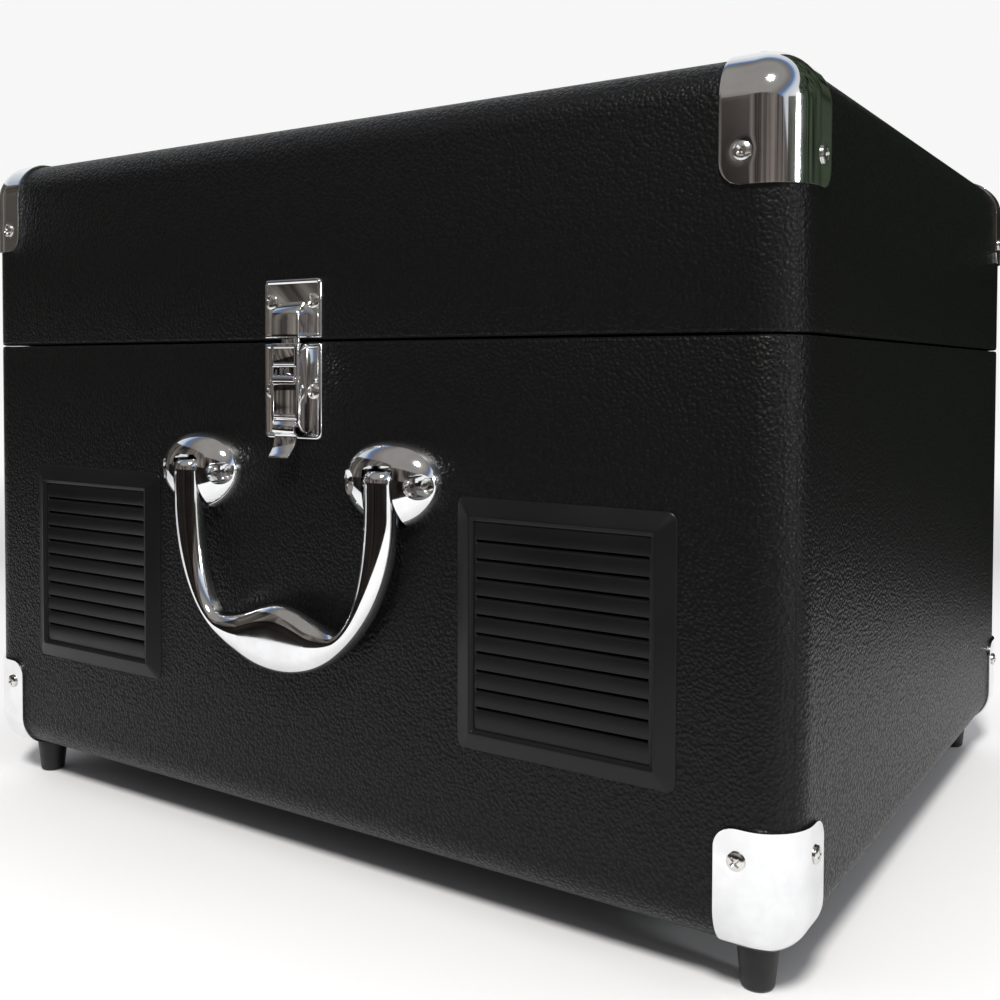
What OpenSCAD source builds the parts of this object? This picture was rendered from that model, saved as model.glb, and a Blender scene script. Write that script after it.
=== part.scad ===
// A portable suitcase phonograph: a covered board case with a hinged lid, a carrying
// handle and a latch, two loudspeakers behind louvred grilles, and a belt-driven
// turntable with its tonearm on a deck inside.
// The front faces -Y and the case stands on the plane z = 0. The origin is the middle
// of the overall footprint. All sizes are in millimetres.

/* [Case] */
// Width of the case
case_w = 400; // [385:1:440]
// Depth of the case from front to back
case_d = 325; // [318:1:360]
// Height of the base, without its feet
base_h = 191; // [180:1:215]
// Height of the lid
lid_h = 85; // [78:1:105]
// Gap between the base and the closed lid
seam_gap = 1; // [0.6:0.1:1.6]
// Thickness of the boards that the case is made of
wall = 9; // [8:0.5:11]
// Radius of the case's rounded edges
edge_r = 15; // [13:0.5:17]
// Thickness of the lining inside the lid
lining_t = 1.5; // [1:0.1:3]

/* [Metal corners] */
// Length of a corner's flat flange past the rounded edge, along the width and the depth
corner_flat = 10; // [9:0.5:13]
// Length of a corner's flat flange past the rounded edge, along the height
corner_rise = 26; // [20:0.5:34]
// Thickness of the corners' sheet
corner_t = 1.2; // [0.8:0.1:1.6]
// Radius of the sheet's free corners
corner_r = 7; // [4:0.5:8]
// Distance from the sheet's free side edge to its screws
corner_screw_in = 7.5; // [6:0.5:8]
// Distance from the sheet's free end to its screws
corner_screw_up = 10; // [7:0.5:14]

/* [Screws] */
// Radius of a wood screw's head
head_r = 2.9; // [2.4:0.1:3.2]
// Height of a wood screw's head
head_h = 1.3; // [1:0.1:1.8]
// Radius of a wood screw's shank
shank_r = 1.3; // [1:0.1:1.6]
// Depth that a wood screw bites into the board
screw_bite = 6; // [4:0.5:6.5]

/* [Feet] */
// Height of the feet
foot_h = 17; // [14:0.5:22]
// Radius of a foot where it meets the case
foot_top_r = 7; // [6:0.5:8]
// Radius of a foot where it stands
foot_low_r = 5.5; // [5:0.5:6]
// Distance from the case's side to a foot's centre
foot_in_side = 18; // [17:0.5:22]
// Distance from the case's front or back to a foot's centre
foot_in_front = 20; // [17:0.5:22]
// Depth of the recess that hides a foot's screw
foot_recess = 9; // [5:0.5:11]

/* [Speakers] */
// Distance from the case's centre line to a grille's centre
grille_x = 120; // [115:1:130]
// Height of the grilles' centre above the base's underside
grille_up = 91.5; // [85:0.5:96]
// Width of a grille
grille_w = 84; // [80:1:90]
// Height of a grille
grille_h = 89; // [86:1:94]
// Width of the bevel round a grille
bevel_w = 8; // [6:0.5:9]
// How far a grille's frame stands proud of the case
grille_t = 3; // [2.4:0.1:4]
// How far the louvred field lies below the frame's crest
field_drop = 0.6; // [0.4:0.1:1]
// Number of slots in a grille
slot_count = 10; // [6:1:11]
// Distance from one slot to the next
slot_pitch = 6.5; // [5.5:0.1:6.8]
// Height of a slot
slot_h = 2.2; // [1.6:0.1:3]
// Radius of the opening behind a grille
speaker_hole_r = 34; // [30:0.5:35]
// Side of a loudspeaker's square flange
speaker_side = 78; // [76:1:80]
// Depth of a loudspeaker's basket
basket_depth = 20; // [16:1:28]
// Radius of a loudspeaker's magnet
magnet_r = 24; // [20:1:28]
// Thickness of a loudspeaker's magnet
magnet_h = 12; // [8:1:18]

/* [Latch] */
// Width of the latch's plates
latch_w = 29.5; // [27:0.5:33]
// Height of the keeper on the lid
keeper_h = 23; // [20:0.5:26]
// Height of the latch's plate on the base
latch_h = 37; // [35:0.5:40]
// Thickness of the latch's sheet metal
latch_t = 1.2; // [0.9:0.1:1.5]
// Width of the latch's raised middle
hump_w = 14.4; // [13:0.2:16]
// How far the latch's raised middle stands proud
hump_out = 6; // [5.8:0.1:7.5]
// Height of the keeper's raised middle
keeper_hump_h = 14; // [12:0.5:15]
// Distance from the seam to each latch plate
latch_gap = 1; // [0.8:0.1:1.4]
// Depth of the lever's pin below the seam
lever_drop = 15; // [14:0.5:17]
// Radius of the lever's pin
lever_pin_r = 1; // [0.8:0.1:1.1]
// Length of the lever's flat plate below its pin
lever_plate = 19; // [17:0.5:20]
// Length of the finger tab below the lever's plate
tab_drop = 11; // [8:0.5:13]
// How far the finger tab curves outwards
tab_out = 3.5; // [2:0.5:5]
// Travel of the bolt
bolt_travel = 6; // [5:0.5:7]

/* [Handle] */
// Distance between the handle's two pivots
handle_span = 100; // [92:1:110]
// Height of the pivots above the base's underside
pivot_up = 139; // [130:1:145]
// Distance from the case's front to the pivots' axis
pivot_out = 8; // [7.6:0.1:9]
// Radius of the pivot pins
pivot_pin_r = 1.8; // [1.4:0.1:1.9]
// Length of the pivot pins
pivot_pin_l = 3.2; // [2.4:0.1:3.6]
// Width of the bail's legs
leg_w = 13; // [11:0.5:13.5]
// Thickness of the bail
bail_t = 9; // [7:0.5:10]
// Gap between the case and the bail
bail_gap = 5.5; // [5:0.1:6]
// Length of the legs' straight stretch
leg_straight = 12; // [8:0.5:16]
// Depth of the bail's rounded bottom
bail_bow = 63.5; // [58:0.5:70]
// Distance from the middle to each finger hollow's low point
hollow_x = 29; // [24:0.5:32]
// Depth of the finger hollows below the pivots
hollow_drop = 55.5; // [50:0.5:58]
// Rise of the grip's middle above the finger hollows
grip_rise = 6.8; // [3:0.2:10]
// Thickness of a mount's base plate
mount_t = 2; // [1.6:0.1:2.4]
// Height of a mount's dome above its base plate
dome_h = 10.5; // [10:0.1:12]
// Radius of a mount's body
mount_r = 17; // [16:0.5:19]
// Distance from a mount's centre to its screws
mount_screw_x = 16.2; // [15.8:0.1:17]
// Radius of the recess round a mount's screw
mount_recess_r = 5; // [4:0.1:5.2]

/* [Hinges] */
// Distance from the case's centre line to a hinge's centre
hinge_x = 110; // [90:1:140]
// Width of a hinge
hinge_w = 50; // [45:1:60]
// Height of a hinge's leaf
leaf_h = 22; // [19:0.5:26]
// Thickness of a hinge's leaf
leaf_t = 1.5; // [1:0.1:2]
// Radius of the hinge's knuckles
knuckle_r = 3.2; // [2.8:0.1:4]
// Radius of the hinge's pin
hinge_pin_r = 1.5; // [1.2:0.1:1.7]

/* [Deck] */
// Depth of the deck below the base's rim
deck_drop = 22; // [20:0.5:26]
// Thickness of the deck
deck_t = 6; // [5:0.5:9]
// Side of the battens that carry the deck
rail_side = 12; // [10:0.5:13]
// Radius of the largest record
record_r = 151; // [149:0.5:151]
// Radius of the platter
platter_r = 115; // [105:1:120]
// Height of the platter
platter_h = 14; // [13:0.5:15]
// Running gap between the deck and the platter
platter_gap = 4; // [3.6:0.1:5]
// Thickness of the platter's mat
mat_t = 2.5; // [1.5:0.1:3]
// Radius of the spindle's free end
spindle_r = 3.55; // [3.5:0.01:3.6]
// Length of the spindle above the mat
spindle_up = 12; // [9:0.5:14]
// Radius of the spindle's shaft
shaft_r = 4; // [3.8:0.1:5]
// Length of the bearing housing below the deck
bearing_l = 32; // [24:1:40]
// Radius of the drum that the belt drives
drum_r = 45; // [40:1:50]
// Radius of the motor's pulley
pulley_r = 6; // [5:0.5:7]
// Distance from the spindle to the motor's shaft
motor_reach = 80; // [76:1:88]
// Radius of the motor
motor_r = 18; // [15:0.5:20]
// Height of the motor
motor_h = 24; // [18:1:30]

/* [Tonearm] */
// Distance from the case's right side to the tonearm's pivot
arm_in_side = 60; // [58:0.5:62]
// Distance from the case's back to the tonearm's pivot
arm_in_back = 57.5; // [55.5:0.5:62.5]
// Distance from the case's front to the resting stylus
stylus_in_front = 45.5; // [42:0.5:49]
// Height of the tonearm's axis above the deck
arm_up = 38; // [36:0.5:40]
// Radius of the tonearm's tube
tube_r = 3.5; // [3:0.1:4]
// Radius of the counterweight
weight_r = 11; // [9:0.5:12]
// Length of the counterweight
weight_l = 18; // [14:0.5:19]
// Distance from the tonearm's pivot to the counterweight
weight_gap = 18; // [16:0.5:19]
// Distance from the tonearm's pivot to the arm rest
rest_reach = 145; // [120:1:160]
// Distance from the tonearm's pivot to the lifting platform
lift_reach = 24; // [23:0.5:26]

/* [Controls] */
// Radius of a knob
knob_r = 11; // [9:0.5:12]
// Height of a knob
knob_h = 12; // [9:0.5:15]
// Radius of a control's shaft
control_shaft_r = 3; // [2.5:0.1:3.2]
// Distance between the controls
control_pitch = 36; // [30:1:38]
// Distance from the case's front to the first control
control_in_front = 42.5; // [40:0.5:50]

/* [Electronics] */
// Width of the window for the sockets at the back
window_w = 100; // [90:1:110]
// Height of the window for the sockets at the back
window_h = 34; // [30:1:38]
// Height of the sockets above the base's underside
socket_up = 58; // [50:1:70]
// Distance between the sockets
socket_pitch = 19; // [17:0.5:20]
// Outside radius of the output sockets
rca_r = 4.15; // [4.1:0.01:4.2]
// Length of the output sockets
rca_l = 8; // [6:0.5:8.5]
// Radius of the audio jack's bore
jack_r = 1.75; // [1.7:0.01:1.8]
// Distance from the case's back to the middle of the amplifier's board
board_in_back = 77.5; // [70:0.5:90]

/* [Hidden] */
$fn = 64;

// Clearances
over = 1;         // how far a cut runs past the face that it opens
run_fit = 0.05;   // radial clearance of a shaft in its bore
near = 0.3;       // gap between pieces that move past or lie by each other
lap = 1;          // how far one part of a solid runs into the next
sheet_fit = 0.1;  // gap under the pressed metal corners
hole_fit = 0.1;   // radial clearance round a screw or a peg

// Heights of the case
base_top = foot_h + base_h;
lid_bottom = base_top + seam_gap;
case_top = lid_bottom + lid_h;
seam_mid = base_top + seam_gap / 2;
floor_z = foot_h + wall;
inner_w = case_w - 2 * wall;
inner_d = case_d - 2 * wall;

// Hinge axis, and the shift that centres the footprint on the origin
hinge_out = knuckle_r + near;
tab_reach = hump_out + tab_out;
front_reach = max(bail_gap + bail_t, tab_reach);
back_reach = hinge_out + knuckle_r;
mid_y = (front_reach - back_reach) / 2;

// Metal corners
corner_reach = edge_r + corner_flat;
corner_h = edge_r + corner_rise;
corner_out = corner_t + sheet_fit;

// Deck and turntable
deck_top = base_top - deck_drop;
deck_under = deck_top - deck_t;
deck_gap = 0.5;
spindle_x = -inner_w / 2 + record_r + 2;
platter_z = deck_top + platter_gap;
platter_top = platter_z + platter_h;
mat_top = platter_top + mat_t;
label_drop = 0.8;
platter_plate = 4;
platter_rim = 4;
drum_wall = 4;
hub_r = 12;
bearing_r = shaft_r + 5;
bearing_flange_r = 20;
bearing_flange_t = 2.5;
bearing_floor = 4;
motor_angle = 135;
motor_x = spindle_x + motor_reach * cos(motor_angle);
motor_y = motor_reach * sin(motor_angle);
motor_shaft_r = 1.5;
motor_shaft_in = 9;
belt_t = 0.8;
belt_h = 4;
belt_z = platter_z + 2.5;

// Tonearm: its pivot, its length to the stylus, and the parts that meet in it
arm_x = case_w / 2 - arm_in_side;
arm_y = case_d / 2 - arm_in_back;
arm_z = deck_top + arm_up;
arm_l = case_d - arm_in_back - stylus_in_front;
yoke_gap = 6.5;
ear_t = 2.5;
ear_w = 10;
ear_out = yoke_gap + ear_t;
arm_pin_r = 1.5;
column_r = 9;
column_top = arm_z - 10;
stub_r = shaft_r + 1.6;
tail_r = tube_r - 1;
shell_l = 26;
record_t = 2;
lift_angle = 22;
lift_stem_r = 2;

// Cueing lever: its axis and the two ears that hold it
cue_x = arm_x + 26;
cue_y = arm_y - 30;
cue_z = deck_top + 9;
cue_gap = 4;
cue_ear_t = 3;
cue_ear_w = 10;
cue_ear_up = 4;

// Controls, along the deck's right edge
pot_side = 16;
pot_h = 11;
pot_gap = 1;
control_x = inner_w / 2 - rail_side - pot_gap - pot_side / 2;
control_y = control_in_front - case_d / 2;
control_shaft_in = 8;
knob_z = deck_top + 1;

// Loudspeakers and sockets
grille_z = foot_h + grille_up;
flange_t = 1.2;
cone_r = speaker_hole_r - 3;
coil_r = 11;
speaker_screw_in = 5;
basket_sheet = 1.5;
peg_r = 1.5;
peg_l = 4;
socket_z = foot_h + socket_up;
socket_wall = 0.7;
socket_l = 10;
panel_t = 2;
panel_lap = 8;
board_x = 70;
board_y = case_d / 2 - board_in_back;
board_w = 100;
board_d = 60;
board_z = floor_z + 8;
wire_r = 1.2;
wire_side = 20;

// ---------------------------------------------------------------- placing

// Moves the case's own axes, centred on the case, to the footprint's centre
module placed() {
    translate([0, mid_y, 0]) children();
}

// Local axes on the case's front: x to the right, y up, z outwards
module on_face(x, z) {
    translate([x, -case_d / 2, z]) rotate([90, 0, 0]) children();
}

// Local axes on the case's back, seen from behind: x to the right, y up, z outwards
module on_back(x, z) {
    translate([x, case_d / 2, z]) rotate([90, 0, 180]) children();
}

// Local axes at a corner of the case, all three pointing inwards along its edges
module at_corner(sx, sy, top) {
    translate([sx * case_w / 2, sy * case_d / 2, top ? case_top : foot_h])
        mirror([sx > 0 ? 1 : 0, 0, 0]) mirror([0, sy > 0 ? 1 : 0, 0]) mirror([0, 0, top ? 1 : 0])
            children();
}

// Extrudes a side view along x, so that its x becomes y and its y becomes z
module along_x(length) {
    rotate([90, 0, 90]) linear_extrude(length, center = true) children();
}

// ---------------------------------------------------------------- screws

// A round-head screw with a cross recess: the head stands on z = 0
module screw(seat = corner_out) {
    dome = head_r * 1.6;
    recess_w = head_r * 0.3;
    recess_l = head_r * 1.2;
    shank_l = seat + screw_bite;
    difference() {
        union() {
            intersection() {
                cylinder(h = head_h, r = head_r);
                translate([0, 0, head_h - dome]) sphere(dome);
            }
            translate([0, 0, -shank_l]) cylinder(h = shank_l + head_h / 2, r = shank_r);
        }
        for (turn = [0, 90])
            rotate([0, 0, turn])
                translate([-recess_l / 2, -recess_w / 2, head_h * 0.45])
                    cube([recess_l, recess_w, head_h]);
    }
}

// The hole for a screw, through the sheet that it holds and into the board
module pilot(seat = corner_out) {
    translate([0, 0, -seat - screw_bite - near])
        cylinder(h = seat + screw_bite + near + over, r = shank_r + hole_fit);
}

// The screw places on one metal corner, in the corner's local axes
module corner_screw_places(top) {
    along = corner_reach - corner_screw_in;
    up = corner_h - corner_screw_up;
    translate([along, -corner_out, up]) rotate([90, 0, 0]) children();
    translate([-corner_out, along, up]) rotate([0, -90, 0]) children();
    if (top)
        translate([along, along, -corner_out]) rotate([180, 0, 0]) children();
}

// The screw place at one foot, in the corner's local axes
module foot_screw_place() {
    translate([foot_in_side, foot_in_front, -foot_h + foot_recess]) rotate([180, 0, 0]) children();
}

// The screw places on the keeper, in the latch's local axes
module keeper_flanges() {
    for (side = [-1, 1])
        translate([side * flange_x, latch_gap + keeper_h * 0.62, latch_t]) children();
}

// The screw places on the latch's plate, in the latch's local axes
module latch_flanges() {
    for (side = [-1, 1])
        translate([side * flange_x, -latch_gap - latch_h / 2, latch_t]) children();
}

// The screw places on one leaf of a hinge, in the hinge's local axes
module leaf_places(up) {
    for (step = [-1, 0, 1])
        translate([step * hinge_w / 3, up * leaf_h * 0.62, leaf_t]) children();
}

module hinge_screw_places(up) {
    for (side = [-1, 1])
        on_back(side * hinge_x, seam_mid) leaf_places(up) children();
}

module mount_screw_places() {
    for (mount = [-1, 1], side = [-1, 1])
        on_face(mount * handle_span / 2 + side * mount_screw_x, foot_h + pivot_up)
            translate([0, 0, mount_t]) children();
}

// Screws of one loudspeaker, put in from inside the case
module speaker_screw_places(side) {
    spread = speaker_side / 2 - speaker_screw_in;
    on_face(side * grille_x, grille_z)
        for (sx = [-1, 1], sy = [-1, 1])
            translate([sx * spread, sy * spread, -wall - flange_t]) rotate([180, 0, 0])
                children();
}

module panel_screw_places() {
    on_back(0, socket_z)
        for (sx = [-1, 1])
            translate([sx * (window_w / 2 + panel_lap / 2), 0, -wall - panel_t]) rotate([180, 0, 0])
                children();
}

module deck_screw_places() {
    for (sx = [-1, 1], sy = [-1, 1])
        translate([sx * (inner_w - rail_side) / 2, sy * inner_d / 3, deck_top]) children();
}

// ---------------------------------------------------------------- case

// A block with rounded vertical and lower edges and a flat top, standing on z = 0
module rounded_block(h) {
    half_w = case_w / 2 - edge_r;
    half_d = case_d / 2 - edge_r;
    translate([-half_w, -half_d, 0]) cube([2 * half_w, 2 * half_d, h]);
    translate([-case_w / 2, -half_d, edge_r]) cube([case_w, 2 * half_d, h - edge_r]);
    translate([-half_w, -case_d / 2, edge_r]) cube([2 * half_w, case_d, h - edge_r]);
    for (sx = [-1, 1], sy = [-1, 1])
        translate([sx * half_w, sy * half_d, edge_r]) {
            cylinder(h = h - edge_r, r = edge_r);
            sphere(edge_r);
        }
    for (sy = [-1, 1])
        translate([0, sy * half_d, edge_r]) rotate([0, 90, 0])
            cylinder(h = 2 * half_w, r = edge_r, center = true);
    for (sx = [-1, 1])
        translate([sx * half_w, 0, edge_r]) rotate([90, 0, 0])
            cylinder(h = 2 * half_d, r = edge_r, center = true);
}

// An open box of board with rounded outer edges
module tub(h) {
    difference() {
        rounded_block(h);
        translate([-inner_w / 2, -inner_d / 2, wall]) cube([inner_w, inner_d, h]);
    }
}

module base_shell() {
    color("#1b1b1c") placed() difference() {
        translate([0, 0, foot_h]) tub(base_h);
        for (side = [-1, 1]) {
            on_face(side * grille_x, grille_z) {
                translate([0, 0, -wall - over]) cylinder(h = wall + 2 * over, r = speaker_hole_r);
                peg_places() translate([0, 0, -peg_l - near])
                    cylinder(h = peg_l + near + over, r = peg_r + hole_fit);
            }
            speaker_screw_places(side) pilot(flange_t);
        }
        for (sx = [-1, 1], sy = [-1, 1])
            at_corner(sx, sy, false) {
                corner_screw_places(false) pilot();
                foot_screw_place() pilot(foot_h - foot_recess);
            }
        on_face(0, seam_mid) latch_flanges() pilot(latch_t);
        hinge_screw_places(-1) pilot(leaf_t);
        mount_screw_places() pilot(mount_t);
        panel_screw_places() pilot(panel_t);
        on_back(0, socket_z) translate([-window_w / 2, -window_h / 2, -wall - over])
            cube([window_w, window_h, wall + 2 * over]);
    }
}

module lid_shell() {
    color("#1b1b1c") placed() difference() {
        translate([0, 0, case_top]) mirror([0, 0, 1]) tub(lid_h);
        for (sx = [-1, 1], sy = [-1, 1])
            at_corner(sx, sy, true) corner_screw_places(true) pilot();
        on_face(0, seam_mid) keeper_flanges() pilot(latch_t);
        hinge_screw_places(1) pilot(leaf_t);
    }
}

// The lining is a thin tray glued inside the lid
module lid_lining() {
    set_back = 3;
    tray_h = lid_h - wall - set_back;
    color("#3a3634") placed() translate([0, 0, lid_bottom + set_back]) difference() {
        translate([-inner_w / 2, -inner_d / 2, 0]) cube([inner_w, inner_d, tray_h]);
        translate([-inner_w / 2 + lining_t, -inner_d / 2 + lining_t, -over])
            cube([inner_w - 2 * lining_t, inner_d - 2 * lining_t, tray_h - lining_t + over]);
    }
}

module deck_rails() {
    color("#b98f5c") placed() translate([0, 0, deck_under - rail_side]) difference() {
        translate([-inner_w / 2, -inner_d / 2, 0]) cube([inner_w, inner_d, rail_side]);
        translate([-inner_w / 2 + rail_side, -inner_d / 2 + rail_side, -over])
            cube([inner_w - 2 * rail_side, inner_d - 2 * rail_side, rail_side + 2 * over]);
        translate([0, 0, rail_side - deck_under]) deck_screw_places() pilot(deck_t);
    }
}

module deck_board() {
    color("#222222") placed() difference() {
        translate([-inner_w / 2 + deck_gap, -inner_d / 2 + deck_gap, deck_under])
            cube([inner_w - 2 * deck_gap, inner_d - 2 * deck_gap, deck_t]);
        deck_hole(spindle_x, 0, bearing_r + hole_fit);
        deck_hole(motor_x, motor_y, pulley_r);
        deck_hole(arm_x, arm_y, stub_r + near);
        lift_place() deck_hole(0, 0, lift_stem_r + run_fit);
        for (place = [0 : 2])
            deck_hole(control_x, control_y + place * control_pitch, control_shaft_r + near);
        deck_screw_places() pilot(deck_t);
    }
}

// A hole through the deck
module deck_hole(x, y, r) {
    translate([x, y, deck_under - over]) cylinder(h = deck_t + 2 * over, r = r);
}

// ---------------------------------------------------------------- metal corners

// The case's rounded corner, grown outwards, as far as the sheet reaches
module corner_block(grow, reach, h) {
    intersection() {
        translate([-grow, -grow, -grow]) cube([reach + grow, reach + grow, h + grow]);
        union() {
            translate([edge_r, edge_r, edge_r]) {
                sphere(edge_r + grow);
                cylinder(h = h, r = edge_r + grow);
                rotate([0, 90, 0]) cylinder(h = reach, r = edge_r + grow);
                rotate([-90, 0, 0]) cylinder(h = reach, r = edge_r + grow);
            }
            translate([edge_r, edge_r, -grow]) cube([reach, reach, h + grow]);
            translate([-grow, edge_r, edge_r]) cube([reach, reach, h]);
            translate([edge_r, -grow, edge_r]) cube([reach, reach, h]);
        }
    }
}

// The waste outside a rounded free corner at [x, y], cut through in z
module free_corner(x, y) {
    translate([x, y, -corner_h]) linear_extrude(2 * corner_h) difference() {
        translate([-corner_r, -corner_r]) square(corner_r + over);
        translate([-corner_r, -corner_r]) circle(corner_r);
    }
}

module metal_corner(sx, sy, top) {
    color("#d9dcdf") placed() at_corner(sx, sy, top) difference() {
        corner_block(corner_out, corner_reach, corner_h);
        corner_block(sheet_fit, corner_reach + over, corner_h + over);
        free_corner(corner_reach, corner_reach);
        rotate([90, 0, 0]) free_corner(corner_reach, corner_h);
        rotate([90, 0, 90]) free_corner(corner_reach, corner_h);
        corner_screw_places(top) pilot();
        if (!top) foot_screw_place() pilot(foot_h - foot_recess);
    }
}

module lid_corner_front_left() {
    metal_corner(-1, -1, true);
}

module lid_corner_front_right() {
    metal_corner(1, -1, true);
}

module lid_corner_back_left() {
    metal_corner(-1, 1, true);
}

module lid_corner_back_right() {
    metal_corner(1, 1, true);
}

module base_corner_front_left() {
    metal_corner(-1, -1, false);
}

module base_corner_front_right() {
    metal_corner(1, -1, false);
}

module base_corner_back_left() {
    metal_corner(-1, 1, false);
}

module base_corner_back_right() {
    metal_corner(1, 1, false);
}

module lid_screws() {
    color("#c9ccd0") placed() {
        for (sx = [-1, 1], sy = [-1, 1])
            at_corner(sx, sy, true) corner_screw_places(true) screw();
        on_face(0, seam_mid) keeper_flanges() screw(latch_t);
        hinge_screw_places(1) screw(leaf_t);
    }
}

module base_screws() {
    color("#c9ccd0") placed() {
        for (sx = [-1, 1], sy = [-1, 1])
            at_corner(sx, sy, false) {
                corner_screw_places(false) screw();
                foot_screw_place() screw(foot_h - foot_recess);
            }
        on_face(0, seam_mid) latch_flanges() screw(latch_t);
        hinge_screw_places(-1) screw(leaf_t);
    }
}

module handle_screws() {
    color("#c9ccd0") placed() mount_screw_places() screw(mount_t);
}

module inner_screws() {
    color("#8f8a7a") placed() {
        for (side = [-1, 1])
            speaker_screw_places(side) screw(flange_t);
        panel_screw_places() screw(panel_t);
    }
}

module deck_screws() {
    color("#2c2c2e") placed() deck_screw_places() screw(deck_t);
}

// Tapered feet, each with a recess below for its screw
module feet() {
    foot_l = foot_h - corner_out;
    color("#161616") placed() for (sx = [-1, 1], sy = [-1, 1])
        translate([sx * (case_w / 2 - foot_in_side), sy * (case_d / 2 - foot_in_front), 0])
            difference() {
                cylinder(h = foot_l, r1 = foot_low_r, r2 = foot_top_r);
                translate([0, 0, -over]) cylinder(h = foot_recess + over, r = head_r + near);
                cylinder(h = foot_h, r = shank_r + hole_fit);
            }
}

// ---------------------------------------------------------------- loudspeakers

module peg_places() {
    for (sx = [-1, 1], sy = [-1, 1])
        translate([sx * (grille_w - bevel_w) / 2, sy * (grille_h - bevel_w) / 2, 0]) children();
}

// A rectangular block whose four sides slope in by the bevel
module bevelled_block(w, h, t, bevel) {
    intersection() {
        rotate([90, 0, 0]) linear_extrude(h, center = true)
            polygon([[-w / 2, 0], [w / 2, 0], [w / 2 - bevel, t], [bevel - w / 2, t]]);
        along_x(w) polygon([[-h / 2, 0], [h / 2, 0], [h / 2 - bevel, t], [bevel - h / 2, t]]);
    }
}

// A louvred grille: a bevelled frame round a lower field with sloping slots
module speaker_grille(side) {
    field_w = grille_w - 2 * bevel_w;
    field_h = grille_h - 2 * bevel_w;
    crest_w = 1;
    slope = 35;
    color("#202021") placed() on_face(side * grille_x, grille_z) {
        difference() {
            bevelled_block(grille_w, grille_h, grille_t, bevel_w - crest_w);
            translate([-field_w / 2, -field_h / 2, grille_t - field_drop])
                cube([field_w, field_h, grille_t]);
            for (i = [0 : slot_count - 1])
                translate([0, (i - (slot_count - 1) / 2) * slot_pitch, grille_t / 2])
                    rotate([slope, 0, 0])
                        cube([field_w - crest_w, slot_h, 4 * grille_t], center = true);
        }
        peg_places() translate([0, 0, -peg_l]) cylinder(h = peg_l + grille_t / 4, r = peg_r);
    }
}

module speaker_grille_left() {
    speaker_grille(-1);
}

module speaker_grille_right() {
    speaker_grille(1);
}

// A loudspeaker's frame: a square flange, an open basket, a back plate and a magnet
module speaker_frame(side) {
    neck_r = magnet_r - 4;
    window = 14;
    window_z = -basket_depth / 2 - 2;
    spread = speaker_side / 2 - speaker_screw_in;
    through = flange_t + 2 * over;
    color("#54565a") placed() on_face(side * grille_x, grille_z) translate([0, 0, -wall]) {
        difference() {
            union() {
                translate([-speaker_side / 2, -speaker_side / 2, -flange_t])
                    cube([speaker_side, speaker_side, flange_t]);
                rotate_extrude() polygon([
                    [speaker_hole_r, 0], [speaker_hole_r + basket_sheet, 0],
                    [neck_r + basket_sheet, -basket_depth], [0, -basket_depth],
                    [0, basket_sheet - basket_depth], [neck_r, basket_sheet - basket_depth]
                ]);
            }
            translate([0, 0, -flange_t - over]) cylinder(h = through, r = speaker_hole_r - 1);
            for (turn = [30 : 60 : 330])
                rotate([0, 0, turn])
                    translate([(speaker_hole_r + neck_r) / 2, 0, window_z])
                        cube([window, window, basket_depth * 0.55], center = true);
            for (sx = [-1, 1], sy = [-1, 1])
                translate([sx * spread, sy * spread, -flange_t - over])
                    cylinder(h = through, r = shank_r + hole_fit);
        }
        translate([0, 0, -basket_depth - magnet_h]) cylinder(h = magnet_h, r = magnet_r);
    }
}

module speaker_frame_left() {
    speaker_frame(-1);
}

module speaker_frame_right() {
    speaker_frame(1);
}

// A paper cone with a rolled surround and a dust cap
module speaker_cone(side) {
    paper = 0.8;
    throat = 7 - flange_t - basket_depth;
    coil_end = 3 - basket_depth;
    edge = cone_r - 2;
    roll = 2.2;
    cap_r = coil_r + 2;
    cap_z = throat - 6;
    block = 2 * coil_r;
    color("#2b2a2c") placed() on_face(side * grille_x, grille_z) translate([0, 0, -wall]) {
        rotate_extrude() polygon([
            [edge, -flange_t - paper], [coil_r, throat], [coil_r, coil_end],
            [coil_r - paper, coil_end], [coil_r - paper, throat + paper],
            [edge, -flange_t + paper / 2]
        ]);
        rotate_extrude() translate([edge + 1, -flange_t]) difference() {
            circle(roll);
            circle(roll - paper);
            translate([-2 * roll, -4 * roll]) square([4 * roll, 4 * roll - paper / 2]);
        }
        difference() {
            translate([0, 0, cap_z]) sphere(cap_r);
            translate([0, 0, cap_z - 1]) sphere(cap_r);
            translate([-block, -block, throat - 2 * block]) cube(2 * block);
        }
    }
}

module speaker_cone_left() {
    speaker_cone(-1);
}

module speaker_cone_right() {
    speaker_cone(1);
}

// ---------------------------------------------------------------- latch

flange_x = (hump_w + latch_w) / 4;
pin_out = hump_out - 1;
lever_hub_r = lever_pin_r + 0.9;
lever_t = 1.4;
bolt_w = 9;
bolt_t = 1.3;

// A bore for the lever's pin, in the latch's local axes
module pin_bore() {
    translate([0, -lever_drop, pin_out]) rotate([0, 90, 0])
        cylinder(h = hump_w + 2 * over, r = lever_pin_r + run_fit, center = true);
}

// The keeper on the lid: a plate with a hollow raised middle, open below for the bolt
module latch_keeper() {
    top = latch_gap + keeper_hump_h;
    bevel = hump_out - latch_t;
    color("#cfd2d6") placed() on_face(0, seam_mid) difference() {
        union() {
            translate([-latch_w / 2, latch_gap, 0]) cube([latch_w, keeper_h, latch_t]);
            along_x(hump_w) polygon([
                [latch_gap, 0], [latch_gap, hump_out], [top - bevel, hump_out],
                [top, latch_t], [top, 0]
            ]);
        }
        translate([-hump_w / 2 + latch_t, 0, latch_t])
            cube([hump_w - 2 * latch_t, top - bevel, hump_out - 2 * latch_t]);
        keeper_flanges() pilot(latch_t);
    }
}

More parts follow.
